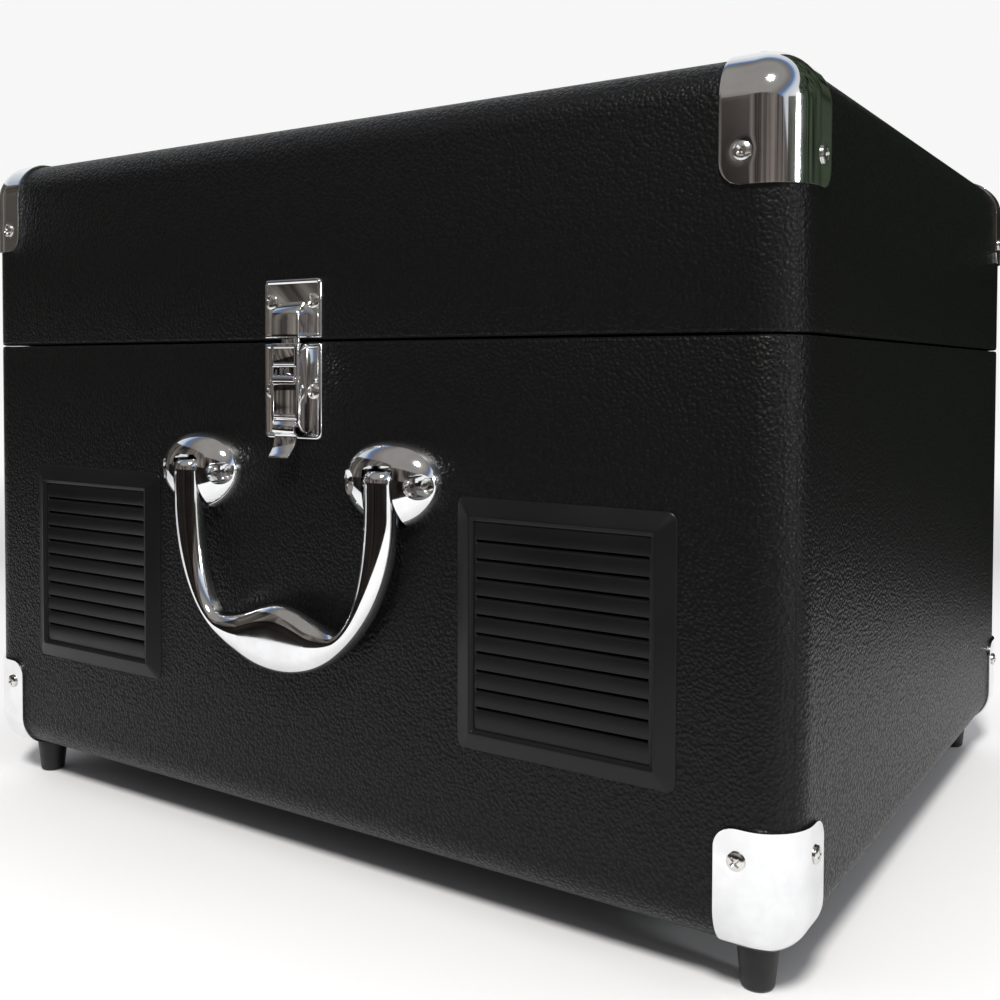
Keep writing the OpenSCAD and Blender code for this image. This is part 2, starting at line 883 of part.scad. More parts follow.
// The latch's plate on the base: two cheeks that hold the lever's pin, and a bridge
module latch_plate() {
    foot = -latch_gap - latch_h;
    toe = foot + 2;
    bridge_h = lever_drop - lever_hub_r - near - latch_gap - 1;
    color("#cfd2d6") placed() on_face(0, seam_mid) difference() {
        union() {
            translate([-latch_w / 2, foot, 0]) cube([latch_w, latch_h, latch_t]);
            for (side = [-1, 1])
                translate([side * (hump_w - latch_t) / 2, 0, 0]) along_x(latch_t) polygon([
                    [-latch_gap, 0], [-latch_gap, hump_out], [foot + hump_out, hump_out],
                    [toe, latch_t], [toe, 0]
                ]);
            translate([-hump_w / 2, -latch_gap - bridge_h, hump_out - latch_t])
                cube([hump_w, bridge_h, latch_t]);
        }
        pin_bore();
        latch_flanges() pilot(latch_t);
    }
}

module latch_pin() {
    pin_over = 0.5;
    color("#b9bcc0") placed() on_face(0, seam_mid) translate([0, -lever_drop, pin_out])
        rotate([0, 90, 0]) cylinder(h = hump_w + 2 * pin_over, r = lever_pin_r, center = true);
}

// The lever: a barrel on the pin, a flat plate and a finger tab that curves outwards
module latch_lever() {
    lever_w = hump_w - 2 * latch_t - 2 * near;
    back = hump_out - lever_t;
    bottom = -lever_drop - lever_plate;
    tab = bottom - tab_drop;
    bend = bottom - tab_drop / 2;
    bend_out = tab_out / 3;
    color("#dfe2e5") placed() on_face(0, seam_mid) difference() {
        union() {
            translate([0, -lever_drop, pin_out]) rotate([0, 90, 0])
                cylinder(h = lever_w, r = lever_hub_r, center = true);
            along_x(lever_w) polygon([
                [-lever_drop, back], [-lever_drop, hump_out], [bottom, hump_out],
                [bend, hump_out + bend_out], [tab, hump_out + tab_out],
                [tab, back + tab_out], [bend, back + bend_out], [bottom, back]
            ]);
        }
        pin_bore();
    }
}

// The bolt slides down out of the keeper when the lever is lifted
module latch_bolt() {
    low = -lever_drop - bolt_travel - 2;
    high = bolt_travel - 0.5;
    color("#b9bcc0") placed() on_face(0, seam_mid)
        translate([-bolt_w / 2, low, latch_t + near]) cube([bolt_w, high - low, bolt_t]);
}

// ---------------------------------------------------------------- handle

leg_x = handle_span / 2;
outer_half = leg_x + leg_w / 2;
inner_half = leg_x - leg_w / 2;
slot_half = leg_w / 2 + near;
slot_up = bail_gap + bail_t - pivot_out + 0.5;
slot_floor = mount_t + 0.6;
eye_r = pivot_out - slot_floor - 0.6;
dome_base_r = mount_r + 5;
dome_r = (dome_base_r * dome_base_r + dome_h * dome_h) / (2 * dome_h);

// Outline of a mount: a round body with two wings for the screws and a blunt point below
module mount_outline() {
    wing_r = 8.2;
    wing_in = 2.6;
    wing_low = -wing_r * 0.9;
    point = 5;
    circle(mount_r - 1);
    for (side = [-1, 1])
        translate([side * (mount_screw_x - wing_in), 0]) circle(wing_r);
    polygon([
        [-mount_screw_x, wing_low], [-point, -mount_r], [point, -mount_r],
        [mount_screw_x, wing_low]
    ]);
}

module handle_mount(side) {
    color("#d6d9dd") placed() on_face(side * leg_x, foot_h + pivot_up) difference() {
        union() {
            linear_extrude(mount_t) mount_outline();
            intersection() {
                linear_extrude(mount_t + dome_h + over) mount_outline();
                translate([0, 0, mount_t + dome_h - dome_r]) sphere(dome_r);
            }
        }
        translate([-slot_half, -2 * mount_r, slot_floor])
            cube([2 * slot_half, 2 * mount_r + slot_up, dome_r]);
        translate([0, 0, pivot_out]) rotate([0, 90, 0])
            cylinder(h = leg_w + 2 * (pivot_pin_l + near), r = pivot_pin_r + run_fit, center = true);
        for (screw_side = [-1, 1])
            translate([screw_side * mount_screw_x, 0, 0]) {
                translate([0, 0, mount_t]) cylinder(h = dome_r, r = mount_recess_r);
                translate([0, 0, -over]) cylinder(h = dome_r, r = shank_r + hole_fit);
            }
    }
}

module handle_mount_left() {
    handle_mount(-1);
}

module handle_mount_right() {
    handle_mount(1);
}

// Outline of the bail: a rounded outside, and an inside with two hollows for the fingers
outer_arc = [for (a = [0 : 6 : 180]) [outer_half * cos(a), -leg_straight - bail_bow * sin(a)]];
hollow_w = inner_half - hollow_x;
hollow_start = 6;
left_arc = [for (a = [180 : 9 : 270])
    [-hollow_x + hollow_w * cos(a), -hollow_start + (hollow_drop - hollow_start) * sin(a)]];
right_arc = [for (a = [270 : 9 : 360])
    [hollow_x + hollow_w * cos(a), -hollow_start + (hollow_drop - hollow_start) * sin(a)]];
crest = [for (t = [-0.9 : 0.1 : 0.9])
    [hollow_x * t, -hollow_drop + grip_rise * (1 + cos(180 * t)) / 2]];
bail_outline = concat(
    [[outer_half, 0]], outer_arc, [[-outer_half, 0], [-inner_half, 0]],
    left_arc, crest, right_arc, [[inner_half, 0]]
);

module handle_bail() {
    color("#e2e4e7") placed() on_face(0, foot_h + pivot_up) {
        translate([0, 0, bail_gap]) linear_extrude(bail_t) polygon(bail_outline);
        for (side = [-1, 1])
            translate([side * leg_x, 0, pivot_out]) rotate([0, 90, 0]) {
                cylinder(h = leg_w, r = eye_r, center = true);
                cylinder(h = leg_w + 2 * pivot_pin_l, r = pivot_pin_r, center = true);
            }
    }
}

// ---------------------------------------------------------------- hinges

knuckle_count = 5;
knuckle_w = hinge_w / knuckle_count;

// One leaf of a hinge with its knuckles, on the back's local axes at the hinge's axis
module hinge_leaf(first, up) {
    clear = knuckle_r + near;
    difference() {
        union() {
            translate([-hinge_w / 2, up > 0 ? clear : -leaf_h, 0])
                cube([hinge_w, leaf_h - clear, leaf_t]);
            for (i = [first : 2 : knuckle_count - 1])
                translate([(i + 0.5) * knuckle_w - hinge_w / 2, 0, 0]) {
                    translate([0, 0, hinge_out]) rotate([0, 90, 0])
                        cylinder(h = knuckle_w - near, r = knuckle_r, center = true);
                    translate([-(knuckle_w - near) / 2, up > 0 ? 0 : -clear - over, 0])
                        cube([knuckle_w - near, clear + over, leaf_t]);
                }
        }
        translate([0, 0, hinge_out]) rotate([0, 90, 0])
            cylinder(h = hinge_w + 2 * over, r = hinge_pin_r + run_fit, center = true);
        leaf_places(up) pilot(leaf_t);
    }
}

module hinge_base_leaves() {
    color("#b8bbbf") placed() for (side = [-1, 1])
        on_back(side * hinge_x, seam_mid) hinge_leaf(0, -1);
}

module hinge_lid_leaves() {
    color("#b8bbbf") placed() for (side = [-1, 1])
        on_back(side * hinge_x, seam_mid) hinge_leaf(1, 1);
}

module hinge_pins() {
    pin_over = 0.5;
    color("#a9acb0") placed() for (side = [-1, 1])
        on_back(side * hinge_x, seam_mid) translate([0, 0, hinge_out]) rotate([0, 90, 0])
            cylinder(h = hinge_w + 2 * pin_over, r = hinge_pin_r, center = true);
}

// ---------------------------------------------------------------- turntable

// The platter: a plate with a rim, and below it the drum that the belt drives
module platter() {
    plate_under = platter_h - platter_plate;
    drum_under = 1.5;
    drum_in = drum_r - drum_wall;
    color("#b7babd") placed() translate([spindle_x, 0, platter_z]) rotate_extrude() polygon([
        [shaft_r, drum_under], [hub_r, drum_under], [hub_r, plate_under], [drum_in, plate_under],
        [drum_in, drum_under], [drum_r, drum_under], [drum_r, plate_under],
        [platter_r - platter_rim, plate_under], [platter_r - platter_rim, 0], [platter_r, 0],
        [platter_r, platter_h], [shaft_r, platter_h]
    ]);
}

module platter_mat() {
    mat_r = platter_r - 2;
    label_r = 50;
    label_z = mat_t - label_drop;
    color("#191919") placed() translate([spindle_x, 0, platter_top]) rotate_extrude() polygon([
        [shaft_r + near, 0], [mat_r, 0], [mat_r, mat_t], [label_r, mat_t],
        [label_r, label_z], [shaft_r + near, label_z]
    ]);
}

// The spindle: the shaft in the bearing, and the slimmer end that a record fits over
module spindle() {
    low = deck_under - bearing_l + bearing_floor;
    neck = mat_top - label_drop;
    neck_top = neck + shaft_r - spindle_r;
    tip = mat_top + spindle_up;
    chamfer = 1;
    nose_r = spindle_r - 1.5;
    nose_z = tip - 2;
    color("#d5d8db") placed() translate([spindle_x, 0, 0]) rotate_extrude() polygon([
        [0, low], [shaft_r - chamfer, low], [shaft_r, low + chamfer], [shaft_r, neck],
        [spindle_r, neck_top], [spindle_r, nose_z], [nose_r, tip], [0, tip]
    ]);
}

// The bearing: a flange on the deck and a closed housing below it
module platter_bearing() {
    low = deck_under - bearing_l;
    bore_low = low + bearing_floor - near;
    top = deck_top + bearing_flange_t;
    bore = shaft_r + run_fit;
    color("#c7a75a") placed() translate([spindle_x, 0, 0]) rotate_extrude() polygon([
        [0, low], [bearing_r, low], [bearing_r, deck_top], [bearing_flange_r, deck_top],
        [bearing_flange_r, top], [bore, top], [bore, bore_low], [0, bore_low]
    ]);
}

// The belt's arc round a wheel, from one straight run to the other
module belt_arc(wheel_r, from, sweep) {
    rotate([0, 0, from]) rotate_extrude(angle = sweep) translate([wheel_r + near, 0])
        square([belt_t, belt_h]);
}

// Two arcs joined by straight runs, whose ends sit a little inside the arcs
module drive_belt() {
    lean = acos((drum_r - pulley_r) / motor_reach);
    run_l = motor_reach * sin(lean);
    inset = 0.1;
    bury = 0.5;
    color("#101010") placed() translate([spindle_x, 0, belt_z]) rotate([0, 0, motor_angle]) {
        belt_arc(drum_r, lean, 360 - 2 * lean);
        translate([motor_reach, 0, 0]) belt_arc(pulley_r, -lean, 2 * lean);
        for (side = [0, 1])
            mirror([0, side, 0]) rotate([0, 0, lean])
                translate([drum_r + near + inset, -run_l - bury, inset])
                    cube([belt_t - 2 * inset, run_l + 2 * bury, belt_h - 2 * inset]);
    }
}

// The motor hangs below the deck on its own flange
module drive_motor() {
    rim = 5;
    rim_t = 2;
    bore_l = motor_shaft_in + 1;
    color("#9fa3a6") placed() translate([motor_x, motor_y, deck_under]) difference() {
        union() {
            translate([0, 0, -motor_h]) cylinder(h = motor_h, r = motor_r);
            translate([0, 0, -rim_t]) cylinder(h = rim_t, r = motor_r + rim);
        }
        translate([0, 0, -bore_l]) cylinder(h = bore_l + over, r = motor_shaft_r + run_fit);
    }
}

// The pulley with chamfered ends, and the motor's shaft
module motor_pulley() {
    chamfer = 1;
    low = deck_under - motor_shaft_in;
    lower = belt_z - 1;
    upper = belt_z + belt_h + 1;
    end_r = pulley_r - chamfer;
    color("#c7a75a") placed() translate([motor_x, motor_y, 0]) rotate_extrude() polygon([
        [0, low], [motor_shaft_r, low], [motor_shaft_r, lower - chamfer],
        [end_r, lower - chamfer], [pulley_r, lower], [pulley_r, upper],
        [end_r, upper + chamfer], [0, upper + chamfer]
    ]);
}

// ---------------------------------------------------------------- tonearm

module arm_place() {
    translate([arm_x, arm_y, 0]) children();
}

// Local axes at the lifting platform's stem
module lift_place() {
    arm_place() rotate([0, 0, -90 - lift_angle]) translate([lift_reach, 0, 0]) children();
}

// A pin along x through the middle of what it joins
module cross_pin(length, r) {
    rotate([0, 90, 0]) cylinder(h = length, r = r, center = true);
}

// The fixed base: a plate with the pivot's column, and two ears for the cueing lever
module tonearm_base() {
    plate_t = 3;
    plate_r = 16;
    border = 1;
    stub_z = deck_under + 1;
    cue_half = cue_gap + cue_ear_t;
    cue_low = cue_y - cue_ear_w / 2;
    color("#8d9093") placed() difference() {
        union() {
            arm_place() {
                translate([0, 0, deck_top]) cylinder(h = plate_t, r = plate_r);
                translate([0, 0, stub_z]) cylinder(h = column_top - stub_z, r = stub_r);
                translate([0, 0, deck_top]) cylinder(h = column_top - deck_top, r = column_r);
            }
            translate([arm_x, cue_low - border, deck_top])
                cube([cue_x + cue_half + border - arm_x, arm_y - cue_low + border, plate_t]);
            for (x = [-cue_half, cue_gap])
                translate([cue_x + x, cue_low, deck_top])
                    cube([cue_ear_t, cue_ear_w, cue_z + cue_ear_up - deck_top]);
        }
        arm_place() translate([0, 0, deck_top]) cylinder(h = arm_up, r = shaft_r + run_fit);
        translate([cue_x, cue_y, cue_z]) cross_pin(2 * (cue_half + over), arm_pin_r + run_fit);
        lift_place() translate([0, 0, deck_top - over])
            cylinder(h = plate_t + 2 * over, r = lift_stem_r + near);
    }
}

// The yoke turns in the column and holds the tonearm between its ears
module tonearm_yoke() {
    disc_t = 2.5;
    disc_over = 1;
    ear_up = 4;
    yoke_z = column_top + near;
    shaft_z = deck_top + 1;
    color("#aeb1b4") placed() arm_place() difference() {
        union() {
            translate([0, 0, shaft_z]) cylinder(h = yoke_z + lap - shaft_z, r = shaft_r);
            translate([0, 0, yoke_z]) cylinder(h = disc_t, r = ear_out + disc_over);
            for (x = [-ear_out, yoke_gap])
                translate([x, -ear_w / 2, yoke_z]) cube([ear_t, ear_w, arm_z + ear_up - yoke_z]);
        }
        translate([0, 0, arm_z]) cross_pin(2 * (ear_out + over), arm_pin_r + run_fit);
    }
}

// The tonearm: a hub on two stub pins, a straight tube and the stub for the counterweight
module tonearm_tube() {
    hub_half = yoke_gap - near;
    hub_d = 14;
    hub_h = 10;
    color("#d5d8db") placed() arm_place() translate([0, 0, arm_z]) {
        translate([-hub_half, -hub_d / 2, -hub_h / 2]) cube([2 * hub_half, hub_d, hub_h]);
        cross_pin(2 * (ear_out - near), arm_pin_r);
        rotate([90, 0, 0]) cylinder(h = arm_l - shell_l, r = tube_r);
        rotate([-90, 0, 0]) cylinder(h = weight_gap + weight_l / 2, r = tail_r);
    }
}

// The headshell with its cartridge, finger lift and stylus
module cartridge() {
    shell_w = 16;
    shell_wall = 1;
    nose = 6;
    collar = 2;
    body_w = 12;
    body_d = 16;
    body_h = 7;
    body_y = -4;
    lift_w = 7;
    lift_d = 5;
    lift_t = 1.5;
    tip_r = 0.4;
    tip_top_r = 2.4;
    tip_z = mat_top + record_t + near;
    body_z = arm_z - tube_r - body_h;
    color("#2a2a2c") placed() arm_place() translate([0, -arm_l, 0]) {
        difference() {
            translate([-shell_w / 2, -nose, arm_z - tube_r - shell_wall])
                cube([shell_w, nose + shell_l + collar, 2 * (tube_r + shell_wall)]);
            translate([0, nose, arm_z]) rotate([-90, 0, 0]) cylinder(h = shell_l, r = tube_r);
        }
        translate([-body_w / 2, body_y, body_z]) cube([body_w, body_d, body_h]);
        translate([0, 0, tip_z]) cylinder(h = body_z - tip_z, r1 = tip_r, r2 = tip_top_r);
        translate([shell_w / 2, body_y, arm_z - lift_t]) cube([lift_w, lift_d, lift_t]);
    }
}

module counterweight() {
    bore_l = weight_l / 2;
    color("#a2a5a8") placed() arm_place() translate([0, weight_gap, arm_z]) rotate([-90, 0, 0])
        difference() {
            cylinder(h = weight_l, r = weight_r);
            translate([0, 0, -over]) cylinder(h = bore_l + over, r = tail_r);
        }
}

// The rest: a post beside the tube and a shelf under it, open towards the platter
module arm_rest() {
    post_w = 5;
    rest_d = 8;
    shelf_t = 3;
    beside = 2;
    post_x = tube_r + beside;
    shelf_z = arm_z - tube_r - near;
    color("#2a2a2c") placed() translate([arm_x, arm_y - rest_reach - rest_d / 2, 0]) {
        translate([post_x, 0, deck_top]) cube([post_w, rest_d, arm_z + tube_r + beside - deck_top]);
        translate([-tube_r, 0, shelf_z - shelf_t]) cube([post_x + tube_r + lap, rest_d, shelf_t]);
    }
}

// The lifting platform: an arc under the tube's sweep, on a stem through the deck
module lift_platform() {
    arc_w = 4;
    arc_t = 2;
    arc_from = -142;
    arc_sweep = 63;
    stem_in = 2;
    stem_z = deck_under - stem_in;
    arc_z = arm_z - tube_r - near - arc_t;
    color("#8d9093") placed() {
        arm_place() translate([0, 0, arc_z]) rotate([0, 0, arc_from])
            rotate_extrude(angle = arc_sweep) translate([lift_reach - arc_w / 2, 0])
                square([arc_w, arc_t]);
        lift_place() translate([0, 0, stem_z]) cylinder(h = arc_z + lap - stem_z, r = lift_stem_r);
    }
}

// The cueing lever: a hub between the ears, on its own pin, a bar and a ball for the finger
module cue_lever() {
    hub_r = 3.5;
    lever_l = 24;
    bar = 3;
    ball_r = 3.2;
    color("#2a2a2c") placed() translate([cue_x, cue_y, cue_z]) {
        cross_pin(2 * (cue_gap - near), hub_r);
        cross_pin(2 * (cue_gap + cue_ear_t) - 1, arm_pin_r);
        translate([-bar / 2, -lever_l, -bar / 2]) cube([bar, lever_l, bar]);
        translate([0, -lever_l, 0]) sphere(ball_r);
    }
}

// ---------------------------------------------------------------- controls

module control_place(place) {
    translate([control_x, control_y + place * control_pitch, 0]) children();
}

// A control's shaft, from its body below the deck up to its knob, or the bore for it
module control_shaft(top, fit = 0, end_gap = 0) {
    low = deck_under - control_shaft_in - end_gap;
    translate([0, 0, low]) cylinder(h = top - low, r = control_shaft_r + fit);
}

// A knob with a pointer groove, on its shaft
module knob(place) {
    taper = 1;
    groove_w = 1.2;
    groove_l = 6;
    groove_t = 1;
    placed() control_place(place) difference() {
        union() {
            translate([0, 0, knob_z]) cylinder(h = knob_h, r1 = knob_r, r2 = knob_r - taper);
            control_shaft(knob_z + lap);
        }
        translate([-groove_w / 2, knob_r - groove_l, knob_z + knob_h - groove_t])
            cube([groove_w, groove_l + over, groove_t + over]);
    }
}

module volume_knob() {
    color("#c4c7ca") knob(0);
}

module tone_knob() {
    color("#c4c7ca") knob(1);
}

// The speed selector: a low disc with a finger bar
module speed_selector() {
    disc_r = knob_r - 2;
    disc_t = 4;
    bar_w = 3;
    bar_h = 6;
    color("#2a2a2c") placed() control_place(2) {
        translate([0, 0, knob_z]) cylinder(h = disc_t, r = disc_r);
        translate([-bar_w / 2, -disc_r, knob_z + disc_t - lap]) cube([bar_w, 2 * disc_r, bar_h]);
        control_shaft(knob_z + lap);
    }
}

// The bodies of the controls, below the deck
module control_pots() {
    color("#3d6b52") placed() for (place = [0 : 2])
        control_place(place) difference() {
            translate([-pot_side / 2, -pot_side / 2, deck_under - pot_h])
                cube([pot_side, pot_side, pot_h]);
            control_shaft(deck_under + over, run_fit, near);
        }
}

// ---------------------------------------------------------------- electronics

// The amplifier: a board on four posts, with capacitors, a heat sink and a transformer
module amplifier_board() {
    board_t = 1.6;
    post_r = 3;
    post_in = 5;
    can_r = 5;
    can_h = 16;
    can_pitch = 16;
    can_x = -20;
    can_y = -12;
    sink = [22, 3, 20];
    sink_x = 18;
    sink_y = -20;
    coil = [24, 14, 12];
    coil_x = -36;
    coil_y = 8;
    color("#2f6b3d") placed() translate([board_x, board_y, 0]) {
        translate([-board_w / 2, -board_d / 2, board_z]) cube([board_w, board_d, board_t]);
        for (sx = [-1, 1], sy = [-1, 1])
            translate([sx * (board_w / 2 - post_in), sy * (board_d / 2 - post_in), floor_z])
                cylinder(h = board_z - floor_z, r = post_r);
        for (i = [-1, 0, 1])
            translate([can_x + i * can_pitch, can_y, board_z + board_t])
                cylinder(h = can_h, r = can_r);
        translate([sink_x, sink_y, board_z + board_t]) cube(sink);
        translate([coil_x, coil_y, board_z + board_t]) cube(coil);
    }
}

// The panel that closes the window from inside
module rear_panel() {
    w = window_w + 2 * panel_lap;
    h = window_h + panel_lap;
    color("#1d1d1f") placed() difference() {
        on_back(0, socket_z) translate([-w / 2, -h / 2, -wall - panel_t]) cube([w, h, panel_t]);
        panel_screw_places() pilot(panel_t);
        on_back(0, socket_z) for (i = [-2 : 2])
            if (i != 0)
                translate([i * socket_pitch, 0, -wall - panel_t - over])
                    cylinder(h = panel_t + 2 * over, r = rca_r - socket_wall + hole_fit);
    }
}

// Two output sockets, an audio jack and a power inlet, each through the panel
module rear_sockets() {
    jack_out = 4;
    rca_bore_r = 1.6;
    inlet_rim = 1;
    inlet_r = 2.75;
    inlet_pin_r = 1;
    color("#b9bcc0") placed() on_back(0, socket_z) translate([0, 0, -wall]) {
        for (i = [-2, -1])
            translate([i * socket_pitch, 0, 0]) difference() {
                socket_body(rca_r, rca_l);
                socket_bore(rca_bore_r, 0, rca_l);
            }
        translate([socket_pitch, 0, 0]) difference() {
            socket_body(rca_r, jack_out);
            socket_bore(jack_r, socket_l - 2, jack_out);
        }
        translate([2 * socket_pitch, 0, 0]) {
            difference() {
                socket_body(rca_r + inlet_rim, jack_out);
                socket_bore(inlet_r, 0, jack_out);
            }
            translate([0, 0, -panel_t - lap]) cylinder(h = panel_t + jack_out, r = inlet_pin_r);
        }
    }
}

// A round socket: a collar in front of the panel, a neck through it and a body behind
module socket_body(r, length) {
    nut = 1.5;
    cylinder(h = length, r = r);
    translate([0, 0, -panel_t - lap]) cylinder(h = panel_t + 2 * lap, r = rca_r - socket_wall);
    translate([0, 0, -panel_t - socket_l]) cylinder(h = socket_l, r = r + nut);
}

// A socket's bore, which ends in the body behind the panel
module socket_bore(r, depth, length) {
    translate([0, 0, -panel_t - depth]) cylinder(h = depth + panel_t + length + over, r = r);
}

// A wire along a list of points, round at each bend
module wire(points) {
    $fn = 16;
    bend_r = wire_r * 1.15;
    for (i = [0 : len(points) - 2]) {
        step = points[i + 1] - points[i];
        length = norm(step);
        translate(points[i])
            rotate([0, acos(step[2] / length), atan2(step[1], step[0])])
                cylinder(h = length, r = wire_r);
        translate(points[i + 1]) sphere(bend_r);
    }
}

// Wires from the loudspeakers' magnets along the floor to the amplifier
module speaker_wires() {
    slack = 12;
    rise = 20;
    wire_z = floor_z + wire_r + near;
    magnet_y = -case_d / 2 + wall + basket_depth + magnet_h;
    board_edge = board_y - board_d / 2;
    color("#a63028") placed() for (side = [-1, 1]) {
        x = side * grille_x;
        end_x = board_x + side * wire_side;
        wire([
            [x, magnet_y + wire_r, grille_z],
            [x, magnet_y + slack, grille_z - slack],
            [x, magnet_y + slack + wire_r, wire_z],
            [end_x, board_edge - rise, wire_z],
            [end_x, board_edge - wire_r, board_z]
        ]);
    }
}

// ---------------------------------------------------------------- nodes

base_shell();
deck_rails();
deck_board();
lid_shell();
lid_lining();
lid_corner_front_left();
lid_corner_front_right();
lid_corner_back_left();
lid_corner_back_right();
base_corner_front_left();
base_corner_front_right();
base_corner_back_left();
base_corner_back_right();
lid_screws();
base_screws();
handle_screws();
inner_screws();
deck_screws();
feet();
speaker_grille_left();
speaker_grille_right();
speaker_frame_left();
speaker_frame_right();
speaker_cone_left();
speaker_cone_right();
latch_keeper();
latch_plate();
latch_pin();
latch_lever();
latch_bolt();
handle_mount_left();
handle_mount_right();
handle_bail();
hinge_base_leaves();
hinge_lid_leaves();
hinge_pins();
platter();
platter_mat();
spindle();
platter_bearing();
drive_belt();
drive_motor();
motor_pulley();
tonearm_base();
tonearm_yoke();
tonearm_tube();
cartridge();
counterweight();
arm_rest();
lift_platform();
cue_lever();
volume_knob();
tone_knob();
speed_selector();
control_pots();
amplifier_board();
rear_panel();
rear_sockets();
speaker_wires();
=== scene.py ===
"""The looks of a suitcase phonograph: a black case with bright metal fittings, two
loudspeaker grilles, a carrying handle and a turntable under its lid. Its front faces -Y."""

import math

import bmesh
import bpy
from mathutils import Matrix, Vector


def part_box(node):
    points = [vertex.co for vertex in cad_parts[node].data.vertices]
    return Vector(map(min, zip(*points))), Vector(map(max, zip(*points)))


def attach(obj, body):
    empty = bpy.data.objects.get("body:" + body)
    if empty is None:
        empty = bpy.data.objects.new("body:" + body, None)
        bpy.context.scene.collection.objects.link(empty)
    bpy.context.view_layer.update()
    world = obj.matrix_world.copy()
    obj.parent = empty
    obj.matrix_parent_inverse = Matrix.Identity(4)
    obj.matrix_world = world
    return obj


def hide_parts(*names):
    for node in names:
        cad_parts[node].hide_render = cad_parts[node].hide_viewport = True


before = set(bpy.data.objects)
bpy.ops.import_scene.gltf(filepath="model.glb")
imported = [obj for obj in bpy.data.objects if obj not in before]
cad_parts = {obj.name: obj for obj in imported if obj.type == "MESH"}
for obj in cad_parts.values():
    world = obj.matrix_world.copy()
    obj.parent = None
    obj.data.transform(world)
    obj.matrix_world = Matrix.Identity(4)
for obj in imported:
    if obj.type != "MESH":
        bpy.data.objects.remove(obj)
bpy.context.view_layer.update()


def add_object(name, data):
    made = bpy.data.objects.new(name, data)
    bpy.context.scene.collection.objects.link(made)
    return made


# ---- camera, in metres

CAMERA_PLACE = (0.31032, -0.48626, 0.19654)
# Round to the side, down from the level, and a slight roll
CAMERA_TURNS = ((33.256, "Z"), (90 - 1.678, "X"), (0.171, "Z"))


def make_camera():
    data = bpy.data.cameras.new("camera")
    data.sensor_width = 36
    data.lens = 41.10
    data.shift_y = -0.0942
    data.clip_start = 0.01
    camera = add_object("camera", data)
    place = Matrix.Translation(CAMERA_PLACE)
    for degrees, axis in CAMERA_TURNS:
        place = place @ Matrix.Rotation(math.radians(degrees), 4, axis)
    camera.matrix_world = place
    bpy.context.scene.camera = camera


make_camera()

# ---- boxes of the CAD's nodes, in millimetres

MM = 0.001


def box(node):
    """A CAD node's low and high corners."""
    return [Vector(corner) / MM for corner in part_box(node)]


def box_middle(node):
    """A CAD node's middle, and its low and high corners."""
    low, high = box(node)
    return (low + high) / 2, low, high


# ---- materials, in metres


def add_node(tree, kind, settings=(), **inputs):
    """A new node. An input is given by its name or, as _0, by its number."""
    made = tree.nodes.new("ShaderNode" + kind)
    for name, value in dict(settings).items():
        setattr(made, name, value)
    for name, value in inputs.items():
        socket = made.inputs[int(name[1:]) if name[0] == "_" else name.replace("_", " ")]
        if isinstance(value, bpy.types.NodeSocket):
            tree.links.new(value, socket)
        else:
            socket.default_value = value
    return made


class Shader:
    """A Principled material, and short ways to add nodes to it."""

    def __init__(self, name, **values):
        self.material = bpy.data.materials.new(name)
        self.material.use_nodes = True
        self.tree = self.material.node_tree
        self.surface = self.tree.nodes["Principled BSDF"]
        for socket, value in values.items():
            self.surface.inputs[socket.replace("_", " ")].default_value = value

    def node(self, *kind, **inputs):
        return add_node(self.tree, *kind, **inputs)

    def link(self, source, socket):
        self.tree.links.new(source, self.surface.inputs[socket])

    def place(self, stretch=(1, 1, 1)):
        """Object coordinates, stretched."""
        coords = self.node("TexCoord").outputs["Object"]
        return self.node("Mapping", Vector=coords, Scale=stretch).outputs["Vector"]

    def noise(self, scale, detail=2, roughness=0.5, place=None):
        return self.node("TexNoise", Scale=scale, Detail=detail, Roughness=roughness,
                         Vector=place or self.place()).outputs["Fac"]

    def ramp(self, factor, low, high, start=0.0, end=1.0):
        """A mix from low to high as factor goes from start to end."""
        made = self.node("ValToRGB", Fac=factor)
        for stop, (spot, value) in zip(made.color_ramp.elements, ((start, low), (end, high))):
            stop.position = spot
            stop.color = (*value, 1) if hasattr(value, "__len__") else (value, value, value, 1)
        return made.outputs["Color"]

    def color(self, factor, low, high, start=0.3, end=0.7):
        self.link(self.ramp(factor, low, high, start, end), "Base Color")

    def gloss(self, factor, middle, spread, start=0.3, end=0.7):
        """Roughness that varies round its middle value."""
        self.link(self.ramp(factor, middle - spread / 2, middle + spread / 2, start, end),
                  "Roughness")

    def math(self, operation, first, second=0.0):
        return self.node("Math", {"operation": operation}, _0=first, _1=second).outputs["Value"]

    def bump(self, height, depth, strength, under=None):
        """Adds a bump whose full height is depth, and returns its normal."""
        made = self.node("Bump", Height=height, Distance=depth, Strength=strength)
        if under:
            self.tree.links.new(under, made.inputs["Normal"])
        self.link(made.outputs["Normal"], "Normal")
        return made.outputs["Normal"]


